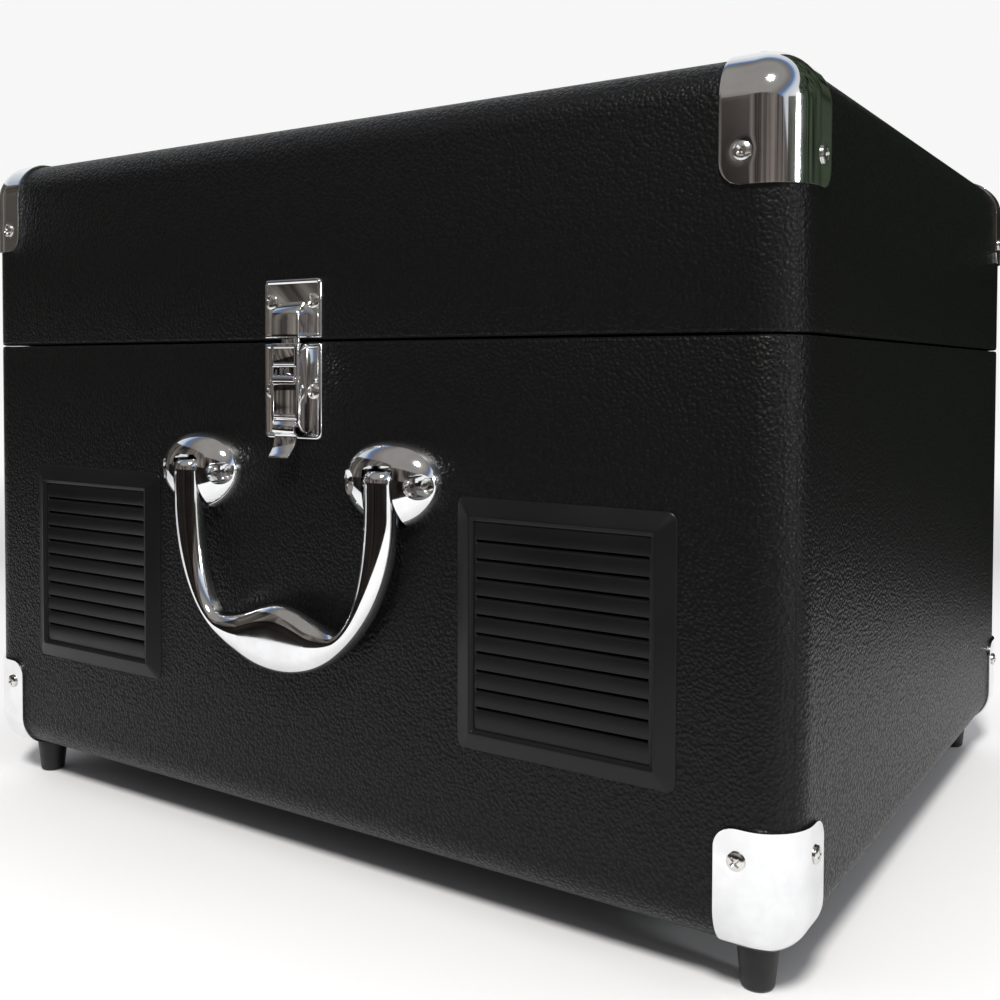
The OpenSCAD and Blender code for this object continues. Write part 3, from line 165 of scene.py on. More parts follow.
def leatherette(name):
    """Black covering with a fine pebbled grain, glossier on top of the pebbles."""
    s = Shader(name, Specular_IOR_Level=0.2)
    place = s.place()
    warp = s.node("TexNoise", Scale=420, Detail=1, Vector=place).outputs["Color"]
    shift = s.node("VectorMath", {"operation": "SCALE"}, _0=warp, Scale=0.001)
    warped = s.node("VectorMath", {"operation": "ADD"}, _0=place, _1=shift.outputs["Vector"])
    cells = s.node("TexVoronoi", {"feature": "SMOOTH_F1"}, Scale=760, Smoothness=0.3,
                   Vector=warped.outputs["Vector"]).outputs["Distance"]
    pebble = s.math("SUBTRACT", 1.0, cells)
    s.color(pebble, (0.0015, 0.0015, 0.0016), (0.0052, 0.0053, 0.0055), 0.25, 0.8)
    s.link(s.ramp(pebble, 0.5, 0.3, 0.3, 0.8), "Roughness")
    coarse = s.bump(pebble, 0.00034, 0.9)
    s.bump(s.noise(2600, 3, 0.6), 0.00003, 0.5, coarse)
    return s.material


def metal(name, color, roughness, spread=0.05, scale=40, stretch=(1, 1, 1), scratch=0.0):
    """Bare or plated metal with uneven gloss, and brushed where stretch isn't even."""
    s = Shader(name, Metallic=1.0)
    grain = s.noise(scale, 4, 0.6, s.place(stretch))
    s.color(grain, [0.9 * c for c in color], color, 0.35, 0.65)
    s.gloss(grain, roughness, spread)
    if scratch:
        s.bump(grain, scratch, 0.5)
    return s.material


def moulding(name, color, roughness, grain=0.00002, scale=1800, level=0.5):
    """Moulded plastic or rubber with a fine even texture."""
    s = Shader(name, Specular_IOR_Level=level)
    fine = s.noise(scale, 3, 0.6)
    broad = s.noise(25, 3)
    s.color(broad, [0.8 * c for c in color], color)
    s.gloss(broad, roughness, 0.1)
    s.bump(fine, grain, 0.6)
    return s.material


def lining(name):
    """Flocked paper."""
    s = Shader(name, Sheen_Weight=0.35, Sheen_Roughness=0.5, Specular_IOR_Level=0.15,
               Roughness=0.95)
    nap = s.noise(1500, 4, 0.7)
    drift = s.noise(14, 3)
    s.color(s.math("MULTIPLY", nap, drift), (0.016, 0.015, 0.014), (0.07, 0.063, 0.058), 0.1, 0.5)
    s.bump(nap, 0.00015, 0.7)
    return s.material


def batten(name):
    """Softwood with long grain."""
    s = Shader(name, Specular_IOR_Level=0.3, Roughness=0.7)
    rings = s.node("TexWave", {"wave_type": "BANDS", "bands_direction": "Z"}, Scale=45,
                   Distortion=9, Detail=3, Detail_Scale=1.5,
                   Vector=s.place((0.15, 0.15, 1))).outputs["Fac"]
    s.color(rings, (0.42, 0.26, 0.13), (0.66, 0.47, 0.27), 0.15, 0.85)
    s.bump(rings, 0.0001, 0.4)
    return s.material


def deck(name):
    """Black paint with a fine leather-like texture."""
    s = Shader(name, Specular_IOR_Level=0.4, Roughness=0.42)
    cells = s.node("TexVoronoi", {"feature": "SMOOTH_F1"}, Scale=1500, Smoothness=0.6,
                   Vector=s.place()).outputs["Distance"]
    s.color(s.noise(12, 3), (0.009, 0.009, 0.010), (0.015, 0.015, 0.016))
    s.bump(cells, 0.00012, 0.5)
    return s.material


def turned(name, color, roughness, node, pitch=0.0006):
    """Metal turned on a lathe: fine rings round the upright axis of a CAD node."""
    s = Shader(name, Metallic=1.0, Anisotropic=0.5)
    centre = box_middle(node)[0] * MM
    shift = s.node("Mapping", Vector=s.node("TexCoord").outputs["Object"],
                   Location=(-centre.x, -centre.y, 0), Scale=(1, 1, 0))
    rings = s.node("TexWave", {"wave_type": "RINGS", "rings_direction": "Z"},
                   Scale=1 / pitch / 6.3, Distortion=0.6, Detail=2,
                   Vector=shift.outputs["Vector"]).outputs["Fac"]
    s.color(rings, [0.88 * c for c in color], color, 0, 1)
    s.gloss(s.noise(60, 3), roughness, 0.1)
    s.bump(rings, 0.00003, 0.5)
    return s.material


def circuit_board(name):
    """Green solder mask over copper tracks."""
    s = Shader(name, Roughness=0.25, Coat_Weight=0.3)
    tracks = s.node("TexBrick", Scale=180, Mortar_Size=0.09, Color1=(0.012, 0.13, 0.05, 1),
                    Color2=(0.014, 0.15, 0.06, 1), Mortar=(0.03, 0.24, 0.10, 1),
                    Vector=s.place()).outputs["Color"]
    s.link(tracks, "Base Color")
    s.bump(s.noise(500, 2), 0.00004, 0.4)
    return s.material


CORNERS = [f"{half}_corner_{end}_{side}" for half in ("lid", "base")
           for end in ("front", "back") for side in ("left", "right")]
# Each slot's CAD nodes, and its material
FINISHES = {
    "leatherette": ("base_shell lid_shell", leatherette),
    "lining": ("lid_lining", lining),
    "batten": ("deck_rails", batten),
    "deck": ("deck_board", deck),
    "chrome": (" ".join(CORNERS) + " latch_keeper latch_plate latch_pin latch_lever latch_bolt"
               " handle_mount_left handle_mount_right handle_bail",
               metal, (0.86, 0.87, 0.88), 0.07, 0.04, 90),
    "screw_steel": ("lid_screws base_screws handle_screws inner_screws deck_screws",
                    metal, (0.74, 0.73, 0.71), 0.2, 0.1, 400),
    "foot_rubber": ("feet", moulding, (0.010, 0.010, 0.011), 0.5, 0.00004, 1400, 0.4),
    "grille_plastic": ("speaker_grille_left speaker_grille_right",
                       moulding, (0.007, 0.007, 0.0075), 0.33, 0.000012, 2500, 0.2),
    "speaker_steel": ("speaker_frame_left speaker_frame_right",
                      moulding, (0.21, 0.22, 0.24), 0.35),
    "speaker_paper": ("speaker_cone_left speaker_cone_right",
                      moulding, (0.022, 0.021, 0.02), 0.9, 0.0001, 900, 0.2),
    "hinge_steel": ("hinge_base_leaves hinge_lid_leaves hinge_pins",
                    metal, (0.66, 0.67, 0.68), 0.26, 0.1, 300, (1, 0.05, 1), 0.00001),
    "platter_metal": ("platter spindle", turned, (0.7, 0.71, 0.72), 0.25, "platter"),
    "mat_rubber": ("platter_mat", moulding, (0.018, 0.018, 0.019), 0.6, 0.00003, 1500, 0.35),
    "belt_rubber": ("drive_belt", moulding, (0.014, 0.014, 0.014), 0.7, 0.00003, 1500, 0.3),
    "brass": ("platter_bearing motor_pulley", turned, (0.74, 0.57, 0.27), 0.24,
              "platter_bearing"),
    "motor_steel": ("drive_motor", metal, (0.58, 0.59, 0.6), 0.3, 0.1, 200, (1, 1, 0.1), 0.00001),
    "arm_metal": ("tonearm_base tonearm_yoke tonearm_tube counterweight lift_platform",
                  metal, (0.78, 0.79, 0.8), 0.22, 0.08, 300, (1, 0.04, 1), 0.000006),
    "black_plastic": ("cartridge arm_rest cue_lever rear_panel speed_selector",
                      moulding, (0.02, 0.02, 0.021), 0.38),
    "knob_metal": ("volume_knob tone_knob",
                   metal, (0.76, 0.77, 0.78), 0.2, 0.08, 500, (1, 1, 0.1), 0.000006),
    "pot_plastic": ("control_pots", moulding, (0.08, 0.19, 0.13), 0.45),
    "circuit_board": ("amplifier_board", circuit_board),
    "socket_metal": ("rear_sockets", metal, (0.72, 0.72, 0.72), 0.2, 0.08, 400),
    "wire_red": ("speaker_wires", moulding, (0.5, 0.035, 0.025), 0.35),
}
MATERIALS = {}
for slot, (nodes, finish, *values) in FINISHES.items():
    MATERIALS[slot] = finish(slot, *values)
    for node in nodes.split():
        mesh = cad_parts[node].data
        mesh.materials.clear()
        mesh.materials.append(MATERIALS[slot])

# ---- mesh helpers, in millimetres from here to the stage

TIP = 0.0001
CIRCLE = 2 * math.pi


def smooth(mesh, angle):
    """Smooth shading, apart from edges sharper than an angle."""
    mesh.polygons.foreach_set("use_smooth", [True] * len(mesh.polygons))
    mesh.set_sharp_from_angle(angle=math.radians(angle))


def add_mesh(verts, faces, smooth_angle=35):
    mesh = bpy.data.meshes.new("piece")
    mesh.from_pydata([Vector(v) * MM for v in verts], [], faces)
    cleaned = bmesh.new()
    cleaned.from_mesh(mesh)
    bmesh.ops.remove_doubles(cleaned, verts=cleaned.verts, dist=1e-6)
    bmesh.ops.recalc_face_normals(cleaned, faces=cleaned.faces)
    cleaned.to_mesh(mesh)
    cleaned.free()
    smooth(mesh, smooth_angle)
    return add_object("piece", mesh)


def settle(obj, smooth_angle=35):
    """Applies the object's modifiers."""
    bpy.context.view_layer.update()
    graph = bpy.context.evaluated_depsgraph_get()
    mesh = bpy.data.meshes.new_from_object(obj.evaluated_get(graph))
    obj.modifiers.clear()
    obj.data = mesh
    smooth(mesh, smooth_angle)
    return obj


def join(objects):
    """One object made of several, which are used up."""
    joined = bmesh.new()
    for obj in objects:
        joined.from_mesh(settle(obj).data)
        bpy.data.objects.remove(obj)
    mesh = bpy.data.meshes.new("piece")
    joined.to_mesh(mesh)
    joined.free()
    smooth(mesh, 35)
    return add_object("piece", mesh)


def dress(made, name, body, slot, *nodes):
    """Gives a piece, or several made into one, its name, slot and body, in place of nodes."""
    obj = join(made) if isinstance(made, list) else made
    obj.name = name
    obj.data.materials.append(MATERIALS[slot])
    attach(obj, body)
    if nodes:
        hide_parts(*nodes)


def round_edges(obj, width, angle=40, segments=3):
    bevel = obj.modifiers.new("round", "BEVEL")
    bevel.width = width * MM
    bevel.segments = segments
    bevel.limit_method = "ANGLE"
    bevel.angle_limit = math.radians(angle)
    bevel.harden_normals = True
    return bevel


def cut(obj, cutters, smooth_angle=35):
    """Takes other pieces, which are used up, out of a piece."""
    for cutter in cutters:
        gap = obj.modifiers.new("cut", "BOOLEAN")
        gap.operation = "DIFFERENCE"
        gap.object = cutter
        settle(obj, smooth_angle)
        bpy.data.objects.remove(cutter)
    return obj


def strips(rows, closed=False):
    """Vertices and faces of a sheet that joins equal rows of points."""
    count = len(rows[0])
    faces = []
    for i in range(len(rows) - 1):
        for j in range(count if closed else count - 1):
            k = (j + 1) % count
            faces.append((i * count + j, i * count + k, (i + 1) * count + k, (i + 1) * count + j))
    return [v for row in rows for v in row], faces


def loft(rows, caps=True, smooth_angle=35):
    """A tube through rings of points, with flat ends where it has caps."""
    verts, faces = strips(rows, closed=True)
    count = len(rows[0])
    if caps:
        faces.append(tuple(reversed(range(count))))
        faces.append(tuple(range(len(verts) - count, len(verts))))
    return add_mesh(verts, faces, smooth_angle)


def lathe(profile, place, axis="Z", segments=64, smooth_angle=35, hollow=False, flutes=(0, 0, ())):
    """A profile of (radius, height) points turned round an axis through place. It runs
    from the axis to the axis, or closes on itself where it is hollow. Flutes are how many
    there are, how deep, and the points of the profile that they cut."""
    count, depth, cuts = flutes
    if hollow:
        profile = profile + profile[:1]
    else:
        profile = [(TIP, profile[0][1])] + profile + [(TIP, profile[-1][1])]
    rows = []
    for index, (radius, height) in enumerate(profile):
        ring = []
        for i in range(segments):
            turn = CIRCLE * i / segments
            out = radius
            if index in cuts:
                out -= depth * (0.5 - 0.5 * math.cos(count * turn)) ** 1.6
            a, b = out * math.cos(turn), out * math.sin(turn)
            local = {"Z": (a, b, height), "Y": (a, height, b), "X": (height, a, b)}[axis]
            ring.append(Vector(place) + Vector(local))
        rows.append(ring)
    return loft(rows, not hollow, smooth_angle)


def rod(radius, start, stop, place, axis, segments=24, end=((1, 0),)):
    """A bar along an axis. The points of its ends are each a share of the radius and how
    far they lie from the tip."""
    profile = [(radius * share, start + a) for share, a in end]
    profile += [(radius * share, stop - a) for share, a in reversed(end)]
    return lathe(profile, place, axis, segments)


def extrude(outline, low, high, axis="X", ease=None):
    """An outline drawn across an axis and carried along it from low to high, with its
    edges rounded by ease: a width, and how sharp an edge has to be."""
    def at(a, b, along):
        return {"X": (along, a, b), "Y": (a, along, b), "Z": (a, b, along)}[axis]
    obj = loft([[Vector(at(a, b, along)) for a, b in outline] for along in (low, high)])
    if ease:
        round_edges(obj, *ease)
        settle(obj)
    return obj


def corners_of(a_low, b_low, a_high, b_high):
    return [(a_low, b_low), (a_high, b_low), (a_high, b_high), (a_low, b_high)]


def moved(points, a, b):
    return [(x + a, y + b) for x, y in points]


def bend(centre, radii, angles):
    """Points round an ellipse, at angles in degrees."""
    return [(centre[0] + radii[0] * math.cos(math.radians(a)),
             centre[1] + radii[1] * math.sin(math.radians(a))) for a in angles]


def arc(centre, radius, start, end, count):
    """Points on an arc, with angles in degrees."""
    return bend(centre, (radius, radius), [start + (end - start) * i / count
                                           for i in range(count + 1)])


def islands(node):
    """The low and high corner and the points of each separate solid of a CAD node."""
    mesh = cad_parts[node].data
    owner = list(range(len(mesh.vertices)))

    def root(i):
        while owner[i] != i:
            owner[i] = owner[owner[i]]
            i = owner[i]
        return i

    spots = {}
    for v in mesh.vertices:
        key = tuple(round(c, 6) for c in v.co)
        owner[v.index] = spots.setdefault(key, v.index)
    for edge in mesh.edges:
        a, b = (root(i) for i in edge.vertices)
        owner[a] = b
    groups = {}
    for v in mesh.vertices:
        groups.setdefault(root(v.index), []).append(v.co / MM)
    return [(Vector([min(p[i] for p in points) for i in range(3)]),
             Vector([max(p[i] for p in points) for i in range(3)]), points)
            for points in groups.values()]


# ---- screws

HEAD_H = 1.3


def phillips_head(radius):
    """The verts and faces of a domed head with a cross recess, facing +Z at the origin."""
    dome = [(radius * part, HEAD_H * (1 - 0.55 * part ** 3)) for part in (i / 8 for i in range(9))]
    head = lathe(dome + [(radius, 0)], (0, 0, 0), segments=48)
    cutters = []
    for a, b in ((0.66, 0.15), (0.15, 0.66)):
        rows = [[Vector((x * a * radius * grow, y * b * radius * grow, z))
                 for x, y in corners_of(-1, -1, 1, 1)]
                for grow, z in ((1.15, HEAD_H + 0.2), (0.5, HEAD_H * 0.2))]
        cutters.append(loft(rows))
    cut(head, cutters)
    verts = [v.co / MM for v in head.data.vertices]
    faces = [tuple(p.vertices) for p in head.data.polygons]
    bpy.data.objects.remove(head)
    return verts, faces


def screw_facts(low, high, points):
    """A screw's head centre, the way it faces, and its head's radius."""
    size = high - low
    axis = max(range(3), key=lambda i: size[i])
    across = [i for i in range(3) if i != axis]
    centre = (low + high) / 2
    radius = max(size[i] for i in across) / 2
    near_high = max(math.hypot(*(p[i] - centre[i] for i in across))
                    for p in points if p[axis] > high[axis] - size[axis] * 0.3)
    outward = Vector((0, 0, 0))
    outward[axis] = 1 if near_high > radius * 0.9 else -1
    centre[axis] = high[axis] if outward[axis] > 0 else low[axis]
    return centre, outward, radius


def dress_screws(node, body):
    """Heads for all of a node's screws. Returns their head centres and ways out."""
    places = [screw_facts(*solid) for solid in islands(node)]
    head_verts, head_faces = phillips_head(places[0][2])
    verts, faces = [], []
    for index, (centre, outward, _) in enumerate(places):
        move = (Matrix.Translation(centre - outward * HEAD_H)
                @ outward.to_track_quat("Z", "Y").to_matrix().to_4x4()
                @ Matrix.Rotation(0.4 + index * 1.1, 4, "Z"))
        faces += [tuple(i + len(verts) for i in face) for face in head_faces]
        verts += [move @ v for v in head_verts]
    dress(add_mesh(verts, faces), f"{node}_dressed", body, "screw_steel", node)
    return [place[:2] for place in places]


# ---- covering

EDGE_R = 15
WALL = 9
COVER_T = 0.15
RIM_R = 1.3
RIM_LIFT = 0.2
SEAM_ANGLE = 56
GROOVE = 0.4
PANEL_LAP = (8, 4)
BASE_LOW, BASE_HIGH = box("base_shell")
LID_LOW, LID_HIGH = box("lid_shell")
CASE_MID = (BASE_LOW + BASE_HIGH) / 2
CASE_HALF = (BASE_HIGH - BASE_LOW) / 2
# Angles from the front or the back round to the side, and how deep the seam dents them
SEAM_TURNS = sorted([(a, 0) for a in range(0, 91, 6) if abs(a - SEAM_ANGLE) > 4] + [
    (SEAM_ANGLE + a, dent) for a, dent in ((-3, 0), (-1, -0.1), (0, 1), (1, 0.3), (3, 0.2))])


def case_ring(inset, z, radius=None, groove=0.0, lift=0.0, stops=()):
    """A ring round the case, inset from its sides, raised by lift at the corners, with
    extra points at stops along the back."""
    radius = max(EDGE_R - inset, 0.02) if radius is None else radius
    half_x, half_y = CASE_HALF.x - inset, CASE_HALF.y - inset
    ring = []
    for corner, (sx, sy) in enumerate(((1, -1), (1, 1), (-1, 1), (-1, -1))):
        turns = SEAM_TURNS if corner % 2 == 0 else [(90 - a, d) for a, d in SEAM_TURNS[::-1]]
        for turn, dent in turns:
            angle = math.radians(90 * (corner - 1) + turn)
            reach = radius - dent * groove
            bulge = lift * min(1.0, 1.6 * math.sin(math.radians(2 * turn)))
            ring.append(Vector((CASE_MID.x + sx * (half_x - radius) + math.cos(angle) * reach,
                                CASE_MID.y + sy * (half_y - radius) + math.sin(angle) * reach,
                                z + bulge)))
        if corner == 1:
            ring += [Vector((x, CASE_MID.y + half_y, z)) for x in stops]
    return ring


def covering(body, low, high, up, inner_z, window=None):
    """Covering over one half of the case: up is 1 where the rim is on top. The window is
    an opening in the back."""
    far, rim = (low.z, high.z) if up > 0 else (high.z, low.z)
    top = rim + up * COVER_T
    rings = [(EDGE_R - a, far + up * (EDGE_R - b), None, GROOVE, 0) for a, b in
             arc((0, 0), EDGE_R + COVER_T, 90, 0, 9)]
    rings += [(-COVER_T, z, None, GROOVE, 0)
              for z in (sorted(window[2:]) if window else []) + [rim - up * RIM_R]]
    rings += [(-COVER_T + RIM_R - a, top - up * (RIM_R - b), None, GROOVE * 0.7,
               up * RIM_LIFT * b / RIM_R) for a, b in arc((0, 0), RIM_R, 30, 90, 2)]
    rings += [(WALL - RIM_R, top, 3, 0, 0), (WALL, top - up * RIM_R * 0.4, 2, 0, 0),
              (WALL + COVER_T, rim - up * RIM_R, 2, 0, 0), (WALL + COVER_T, inner_z, 2, 0, 0)]
    stops = (window[1], 0, window[0]) if window else ()
    verts, faces = strips([case_ring(*ring, stops) for ring in rings], closed=True)
    faces.append(tuple(range(len(verts) // len(rings))))

    def in_window(face):
        spot = sum((verts[i] for i in face), Vector()) / len(face)
        return (window[0] < spot.x < window[1] and window[2] < spot.z < window[3]
                and spot.y > CASE_MID.y and len(face) == 4
                and abs(spot.y - high.y) < WALL / 2)

    faces = [face for face in faces if not (window and in_window(face))]
    dress(add_mesh(verts, faces, 50), f"{body}_covering", body, "leatherette")


PANEL_LOW, PANEL_HIGH = box("rear_panel")
DECK_Z = box("deck_board")[1].z
covering("base", BASE_LOW, BASE_HIGH, 1, DECK_Z,
         (PANEL_LOW.x + PANEL_LAP[0], PANEL_HIGH.x - PANEL_LAP[0],
          PANEL_LOW.z + PANEL_LAP[1], PANEL_HIGH.z - PANEL_LAP[1]))
covering("lid", LID_LOW, LID_HIGH, -1, box("lid_lining")[0].z)

# ---- metal corners

SHEET_OUT = 1.3
SHEET_T = 1.1
FREE_R = 7
DISH_R = 4.4
DISH_DEEP = 0.35


def corner_rows(reach, tall):
    """Rows of points on a corner: each is a distance from its two side planes and how far
    it drops from its top. They run down the flanges, over the ball and along the top."""
    radius = EDGE_R + SHEET_OUT
    flat, turn, free = 9, 15, 14
    drops = [tall - (tall - EDGE_R) * i / 26 for i in range(26)]
    sides = []
    for drop in [tall, tall - 0.4, tall - 0.9] + drops[1:]:
        past = max(drop - (tall - FREE_R), 0)
        short = FREE_R - math.sqrt(max(FREE_R ** 2 - past ** 2, 0))
        sides.append((reach - short, radius, drop))
    for i in range(turn + 1):
        polar = math.radians(90 * i / turn)
        sides.append((reach, radius * math.cos(polar), EDGE_R - radius * math.sin(polar)))
    rows = []
    for start, shrink, drop in sides:
        row = [(start + (EDGE_R - start) * i / flat, EDGE_R - shrink) for i in range(flat)]
        row += [(EDGE_R - b, EDGE_R - a) for a, b in arc((0, 0), shrink, 0, 90, turn)]
        row += [(EDGE_R - shrink, start + (EDGE_R - start) * i / flat)
                for i in range(flat - 1, -1, -1)]
        rows.append([(x, y, drop) for x, y in row])
    last = rows[-1]
    ends = []
    for i in range(len(last)):
        part = i / (len(last) - 1)
        edge = reach - EDGE_R - FREE_R
        if part < 0.3:
            ends.append((reach, EDGE_R + edge * part / 0.3))
        elif part > 0.7:
            ends.append((EDGE_R + edge * (1 - part) / 0.3, reach))
        else:
            centre = (reach - FREE_R, reach - FREE_R)
            ends += bend(centre, (FREE_R, FREE_R), [90 * (part - 0.3) / 0.4])
    for part in (step / free for step in range(1, free + 1)):
        rows.append([(x + (to_x - x) * part, y + (to_y - y) * part, -SHEET_OUT)
                     for (x, y, _), (to_x, to_y) in zip(last, ends)])
    return rows


def sheet_corner(node, screws):
    """A drawn metal corner: three flanges that run into a ball, with a rounded rim and a
    shallow dish round each screw."""
    centre, low, high = box_middle(node)
    body = node.split("_")[0]
    towards = [1 if centre[i] > CASE_MID[i] else -1 for i in (0, 1)]
    towards.append(1 if body == "lid" else -1)
    outer = [high[i] if towards[i] > 0 else low[i] for i in range(3)]
    size = high - low
    verts, faces = strips([[Vector([outer[i] - towards[i] * (SHEET_OUT + spot[i])
                                    for i in range(3)]) for spot in row]
                           for row in corner_rows(size.x - SHEET_OUT, size.z - SHEET_OUT)])
    for index, vert in enumerate(verts):
        for head, outward in screws:
            away = vert - head
            out = away.dot(outward)
            across = (away - outward * out).length
            if across < DISH_R and abs(out) < 4:
                sink = DISH_DEEP * 0.5 * (1 + math.cos(math.pi * across / DISH_R))
                verts[index] = vert - outward * sink
    obj = add_mesh(verts, faces, 60)
    face = obj.data.polygons[len(faces) // 3]
    outside = face.center / MM - sum(verts, Vector()) / len(verts)
    sheet = obj.modifiers.new("sheet", "SOLIDIFY")
    sheet.thickness = SHEET_T * MM
    sheet.offset = -1 if face.normal.dot(outside) > 0 else 1
    round_edges(obj, 0.4, 50).harden_normals = False
    dress(settle(obj, 60), f"{node}_drawn", body, "chrome", node)


SCREWS = {half: dress_screws(f"{half}_screws", half) for half in ("lid", "base")}
for node in CORNERS:
    sheet_corner(node, SCREWS[node.split("_")[0]])

# ---- handle

MOUNT_MID, MOUNT_LOW, MOUNT_HIGH = box_middle("handle_mount_right")
BAIL_LOW = box("handle_bail")[0]
FRONT_Y = BASE_LOW.y
PIVOT_Y = FRONT_Y - 8
PIVOT_Z = box_middle("handle_screws")[0].z
LEG_X = MOUNT_MID.x
LEG_W = 13
BAIL_T = 9
LEG_STRAIGHT = 12
BOW = PIVOT_Z - BAIL_LOW.z - LEG_STRAIGHT
HOLLOW_X, HOLLOW_DROP, HOLLOW_START = 29, 55.5, 6
GRIP_RISE = 6.8
TURN_AT_HOLLOW = 54


def bail_lines():
    """Matching points on the bail's outside and inside, from the right pivot to the middle."""
    outer_half, inner_half = LEG_X + LEG_W / 2, LEG_X - LEG_W / 2
    pairs = [((outer_half, -LEG_STRAIGHT * i / 5), (inner_half, -HOLLOW_START * i / 5))
             for i in range(5)]
    bow = [TURN_AT_HOLLOW * i / 18 for i in range(19)]
    bow += [TURN_AT_HOLLOW + (90 - TURN_AT_HOLLOW) * i / 18 for i in range(1, 19)]
    inside = bend((HOLLOW_X, -HOLLOW_START), (inner_half - HOLLOW_X, HOLLOW_START - HOLLOW_DROP),
                  [5 * i for i in range(19)])
    inside += [(HOLLOW_X * (1 - i / 18),
                -HOLLOW_DROP + GRIP_RISE * (1 + math.cos(math.pi * (1 - i / 18))) / 2)
               for i in range(1, 19)]
    pairs += zip(bend((0, -LEG_STRAIGHT), (outer_half, -BOW), bow), inside)
    return [(Vector(outside), Vector(inside)) for outside, inside in pairs]


def bail_section(outside, inside, front, back, side):
    """A section with broad rounded front edges, from the outside to the inside."""
    width = (inside - outside).length
    soft = min(width / 2, 9)
    roll = min(6.2, (back - front) * 0.7)
    spots = bend((soft, front + roll), (-soft, -roll), [90 * i / 8 for i in range(9)])
    crown = [(width - a, y) for a, y in reversed(spots)]
    if width - 2 * soft < 0.2:
        crown[0] = spots[-1]
    edge = 1.6
    spots += crown + [
        (width, back - edge), (width - 0.5 * edge, back - 0.3 * edge), (width - edge, back),
        (edge, back), (0.5 * edge, back - 0.3 * edge), (0, back - edge)]
    along = (inside - outside).normalized()
    return [Vector((side * (outside + along * a).x, y, PIVOT_Z + (outside + along * a).y))
            for a, y in spots]


def make_bail():
    pairs = bail_lines()
    front, back = BAIL_LOW.y, BAIL_LOW.y + BAIL_T
    outside, inside = pairs[0]
    halves = []
    for side in (1, -1):
        rows = []
        for turn in (math.radians(angle) for angle in (80, 60, 40, 20)):
            up = 5.6 * math.sin(turn)
            slim = 1.2 * (1 - math.cos(turn))
            rows.append(bail_section(
                outside + Vector((-slim, up)), inside + Vector((slim, up)),
                PIVOT_Y - (PIVOT_Y - front) * math.cos(turn) ** 0.6 - 0.4,
                PIVOT_Y + 0.8 + (back - PIVOT_Y - 0.8) * math.cos(turn), side))
        halves.append(rows + [bail_section(a, b, front, back, side) for a, b in pairs])
    right, left = halves
    pieces = [loft(right + left[::-1][1:], smooth_angle=60)]
    for side in (-1, 1):
        for way in (-1, 1):
            start, stop = (side * LEG_X + way * (LEG_W / 2 + a) for a in (-1, 3.1))
            pieces.append(rod(1.75, start, stop, (0, PIVOT_Y, PIVOT_Z), "X"))
    dress(pieces, "bail_cast", "handle", "chrome", "handle_bail")


MOUNT_T = 2
DOME_H = MOUNT_HIGH.y - MOUNT_LOW.y - MOUNT_T
WING_X = 16.2
RECESS_R = 4.4
SLOT_LINE = [(8.8, -30), (7.9, -11), (7, -6), (7, 5), (5, 7)]


def mount_reach(angle):
    """How far the mount's outline lies from its middle, towards an angle in radians."""
    x, z = math.cos(angle), math.sin(angle)
    power, peak = (2.15, 16) if z >= 0 else (1.75, 17)
    return 1 / ((abs(x) / 21.8) ** power + (abs(z) / peak) ** power) ** (1 / power)


def mount_rise(part):
    """The dome's height at a part of the way from its middle to its outline."""
    return MOUNT_T + DOME_H * (1 - part ** 2.6) ** 0.62


def make_mount(side):
    """A dome on the case with a slot for the bail's leg and two screw recesses."""
    name = f"handle_mount_{'left' if side < 0 else 'right'}"
    centre = Vector((side * LEG_X, FRONT_Y, PIVOT_Z))
    turns = [CIRCLE * i / 96 for i in range(96)]
    rows = [[centre + Vector((part * mount_reach(t) * math.cos(t), -rise,
                              part * mount_reach(t) * math.sin(t))) for t in turns]
            for part, rise in [(1, 0.2)] + [(1 - i / 30, mount_rise(1 - i / 30))
                                            for i in range(31)]]
    outline = SLOT_LINE + [(-x, z) for x, z in reversed(SLOT_LINE)]
    cutters = [extrude(moved(outline, centre.x, centre.z), FRONT_Y - MOUNT_T - 0.5,
                       FRONT_Y - 40, "Y")]
    mouth = -mount_rise(WING_X / mount_reach(0)) - 2.2
    cutters += [lathe([(RECESS_R, -MOUNT_T - 0.3), (RECESS_R + 0.5, mouth)],
                      centre + Vector((way * WING_X, 0, 0)), "Y", 48) for way in (-1, 1)]
    dress(cut(loft(rows, smooth_angle=45), cutters, 28), f"{name}_cast", "base", "chrome", name)


make_bail()
make_mount(-1)
make_mount(1)
dress_screws("handle_screws", "base")

# ---- latch

KEEPER_LOW, KEEPER_HIGH = box("latch_keeper")
PLATE_LOW, PLATE_HIGH = box("latch_plate")
PIN_MID, PIN_LOW, PIN_HIGH = box_middle("latch_pin")
PIN_PLACE = (0, PIN_MID.y, PIN_MID.z)
LATCH_SHEET = 1.2
HUMP_HALF = 7.2
HUMP_OUT = FRONT_Y - KEEPER_LOW.y
HUMP_Y = KEEPER_LOW.y


def pressed_plate(low, high, corners):
    """A plate with a raised rim, corners rounded by the given radii, and a dish inside the
    rim. The corners start at the lower left and go round anticlockwise."""
    spots = ((low.x, low.z, 180), (high.x, low.z, 270), (high.x, high.z, 0), (low.x, high.z, 90))
    full = LATCH_SHEET + 0.35
    rows = []
    for inset, out in ((0, 0.02), (0, full - 0.75), (0.12, full - 0.4), (0.35, full - 0.12),
                       (0.7, full), (1.1, full), (1.45, full - 0.2), (1.75, full - 0.45),
                       (2.1, full - 0.55)):
        row = []
        for (x, z, start), radius in zip(spots, corners):
            r = max(radius - inset, 0.15)
            centre = (x + (r + inset) * (1 if x == low.x else -1),
                      z + (r + inset) * (1 if z == low.z else -1))
            row += [Vector((a, FRONT_Y - out, b)) for a, b in arc(centre, r, start, start + 90, 6)]
        rows.append(row)
    return loft(rows, smooth_angle=60)


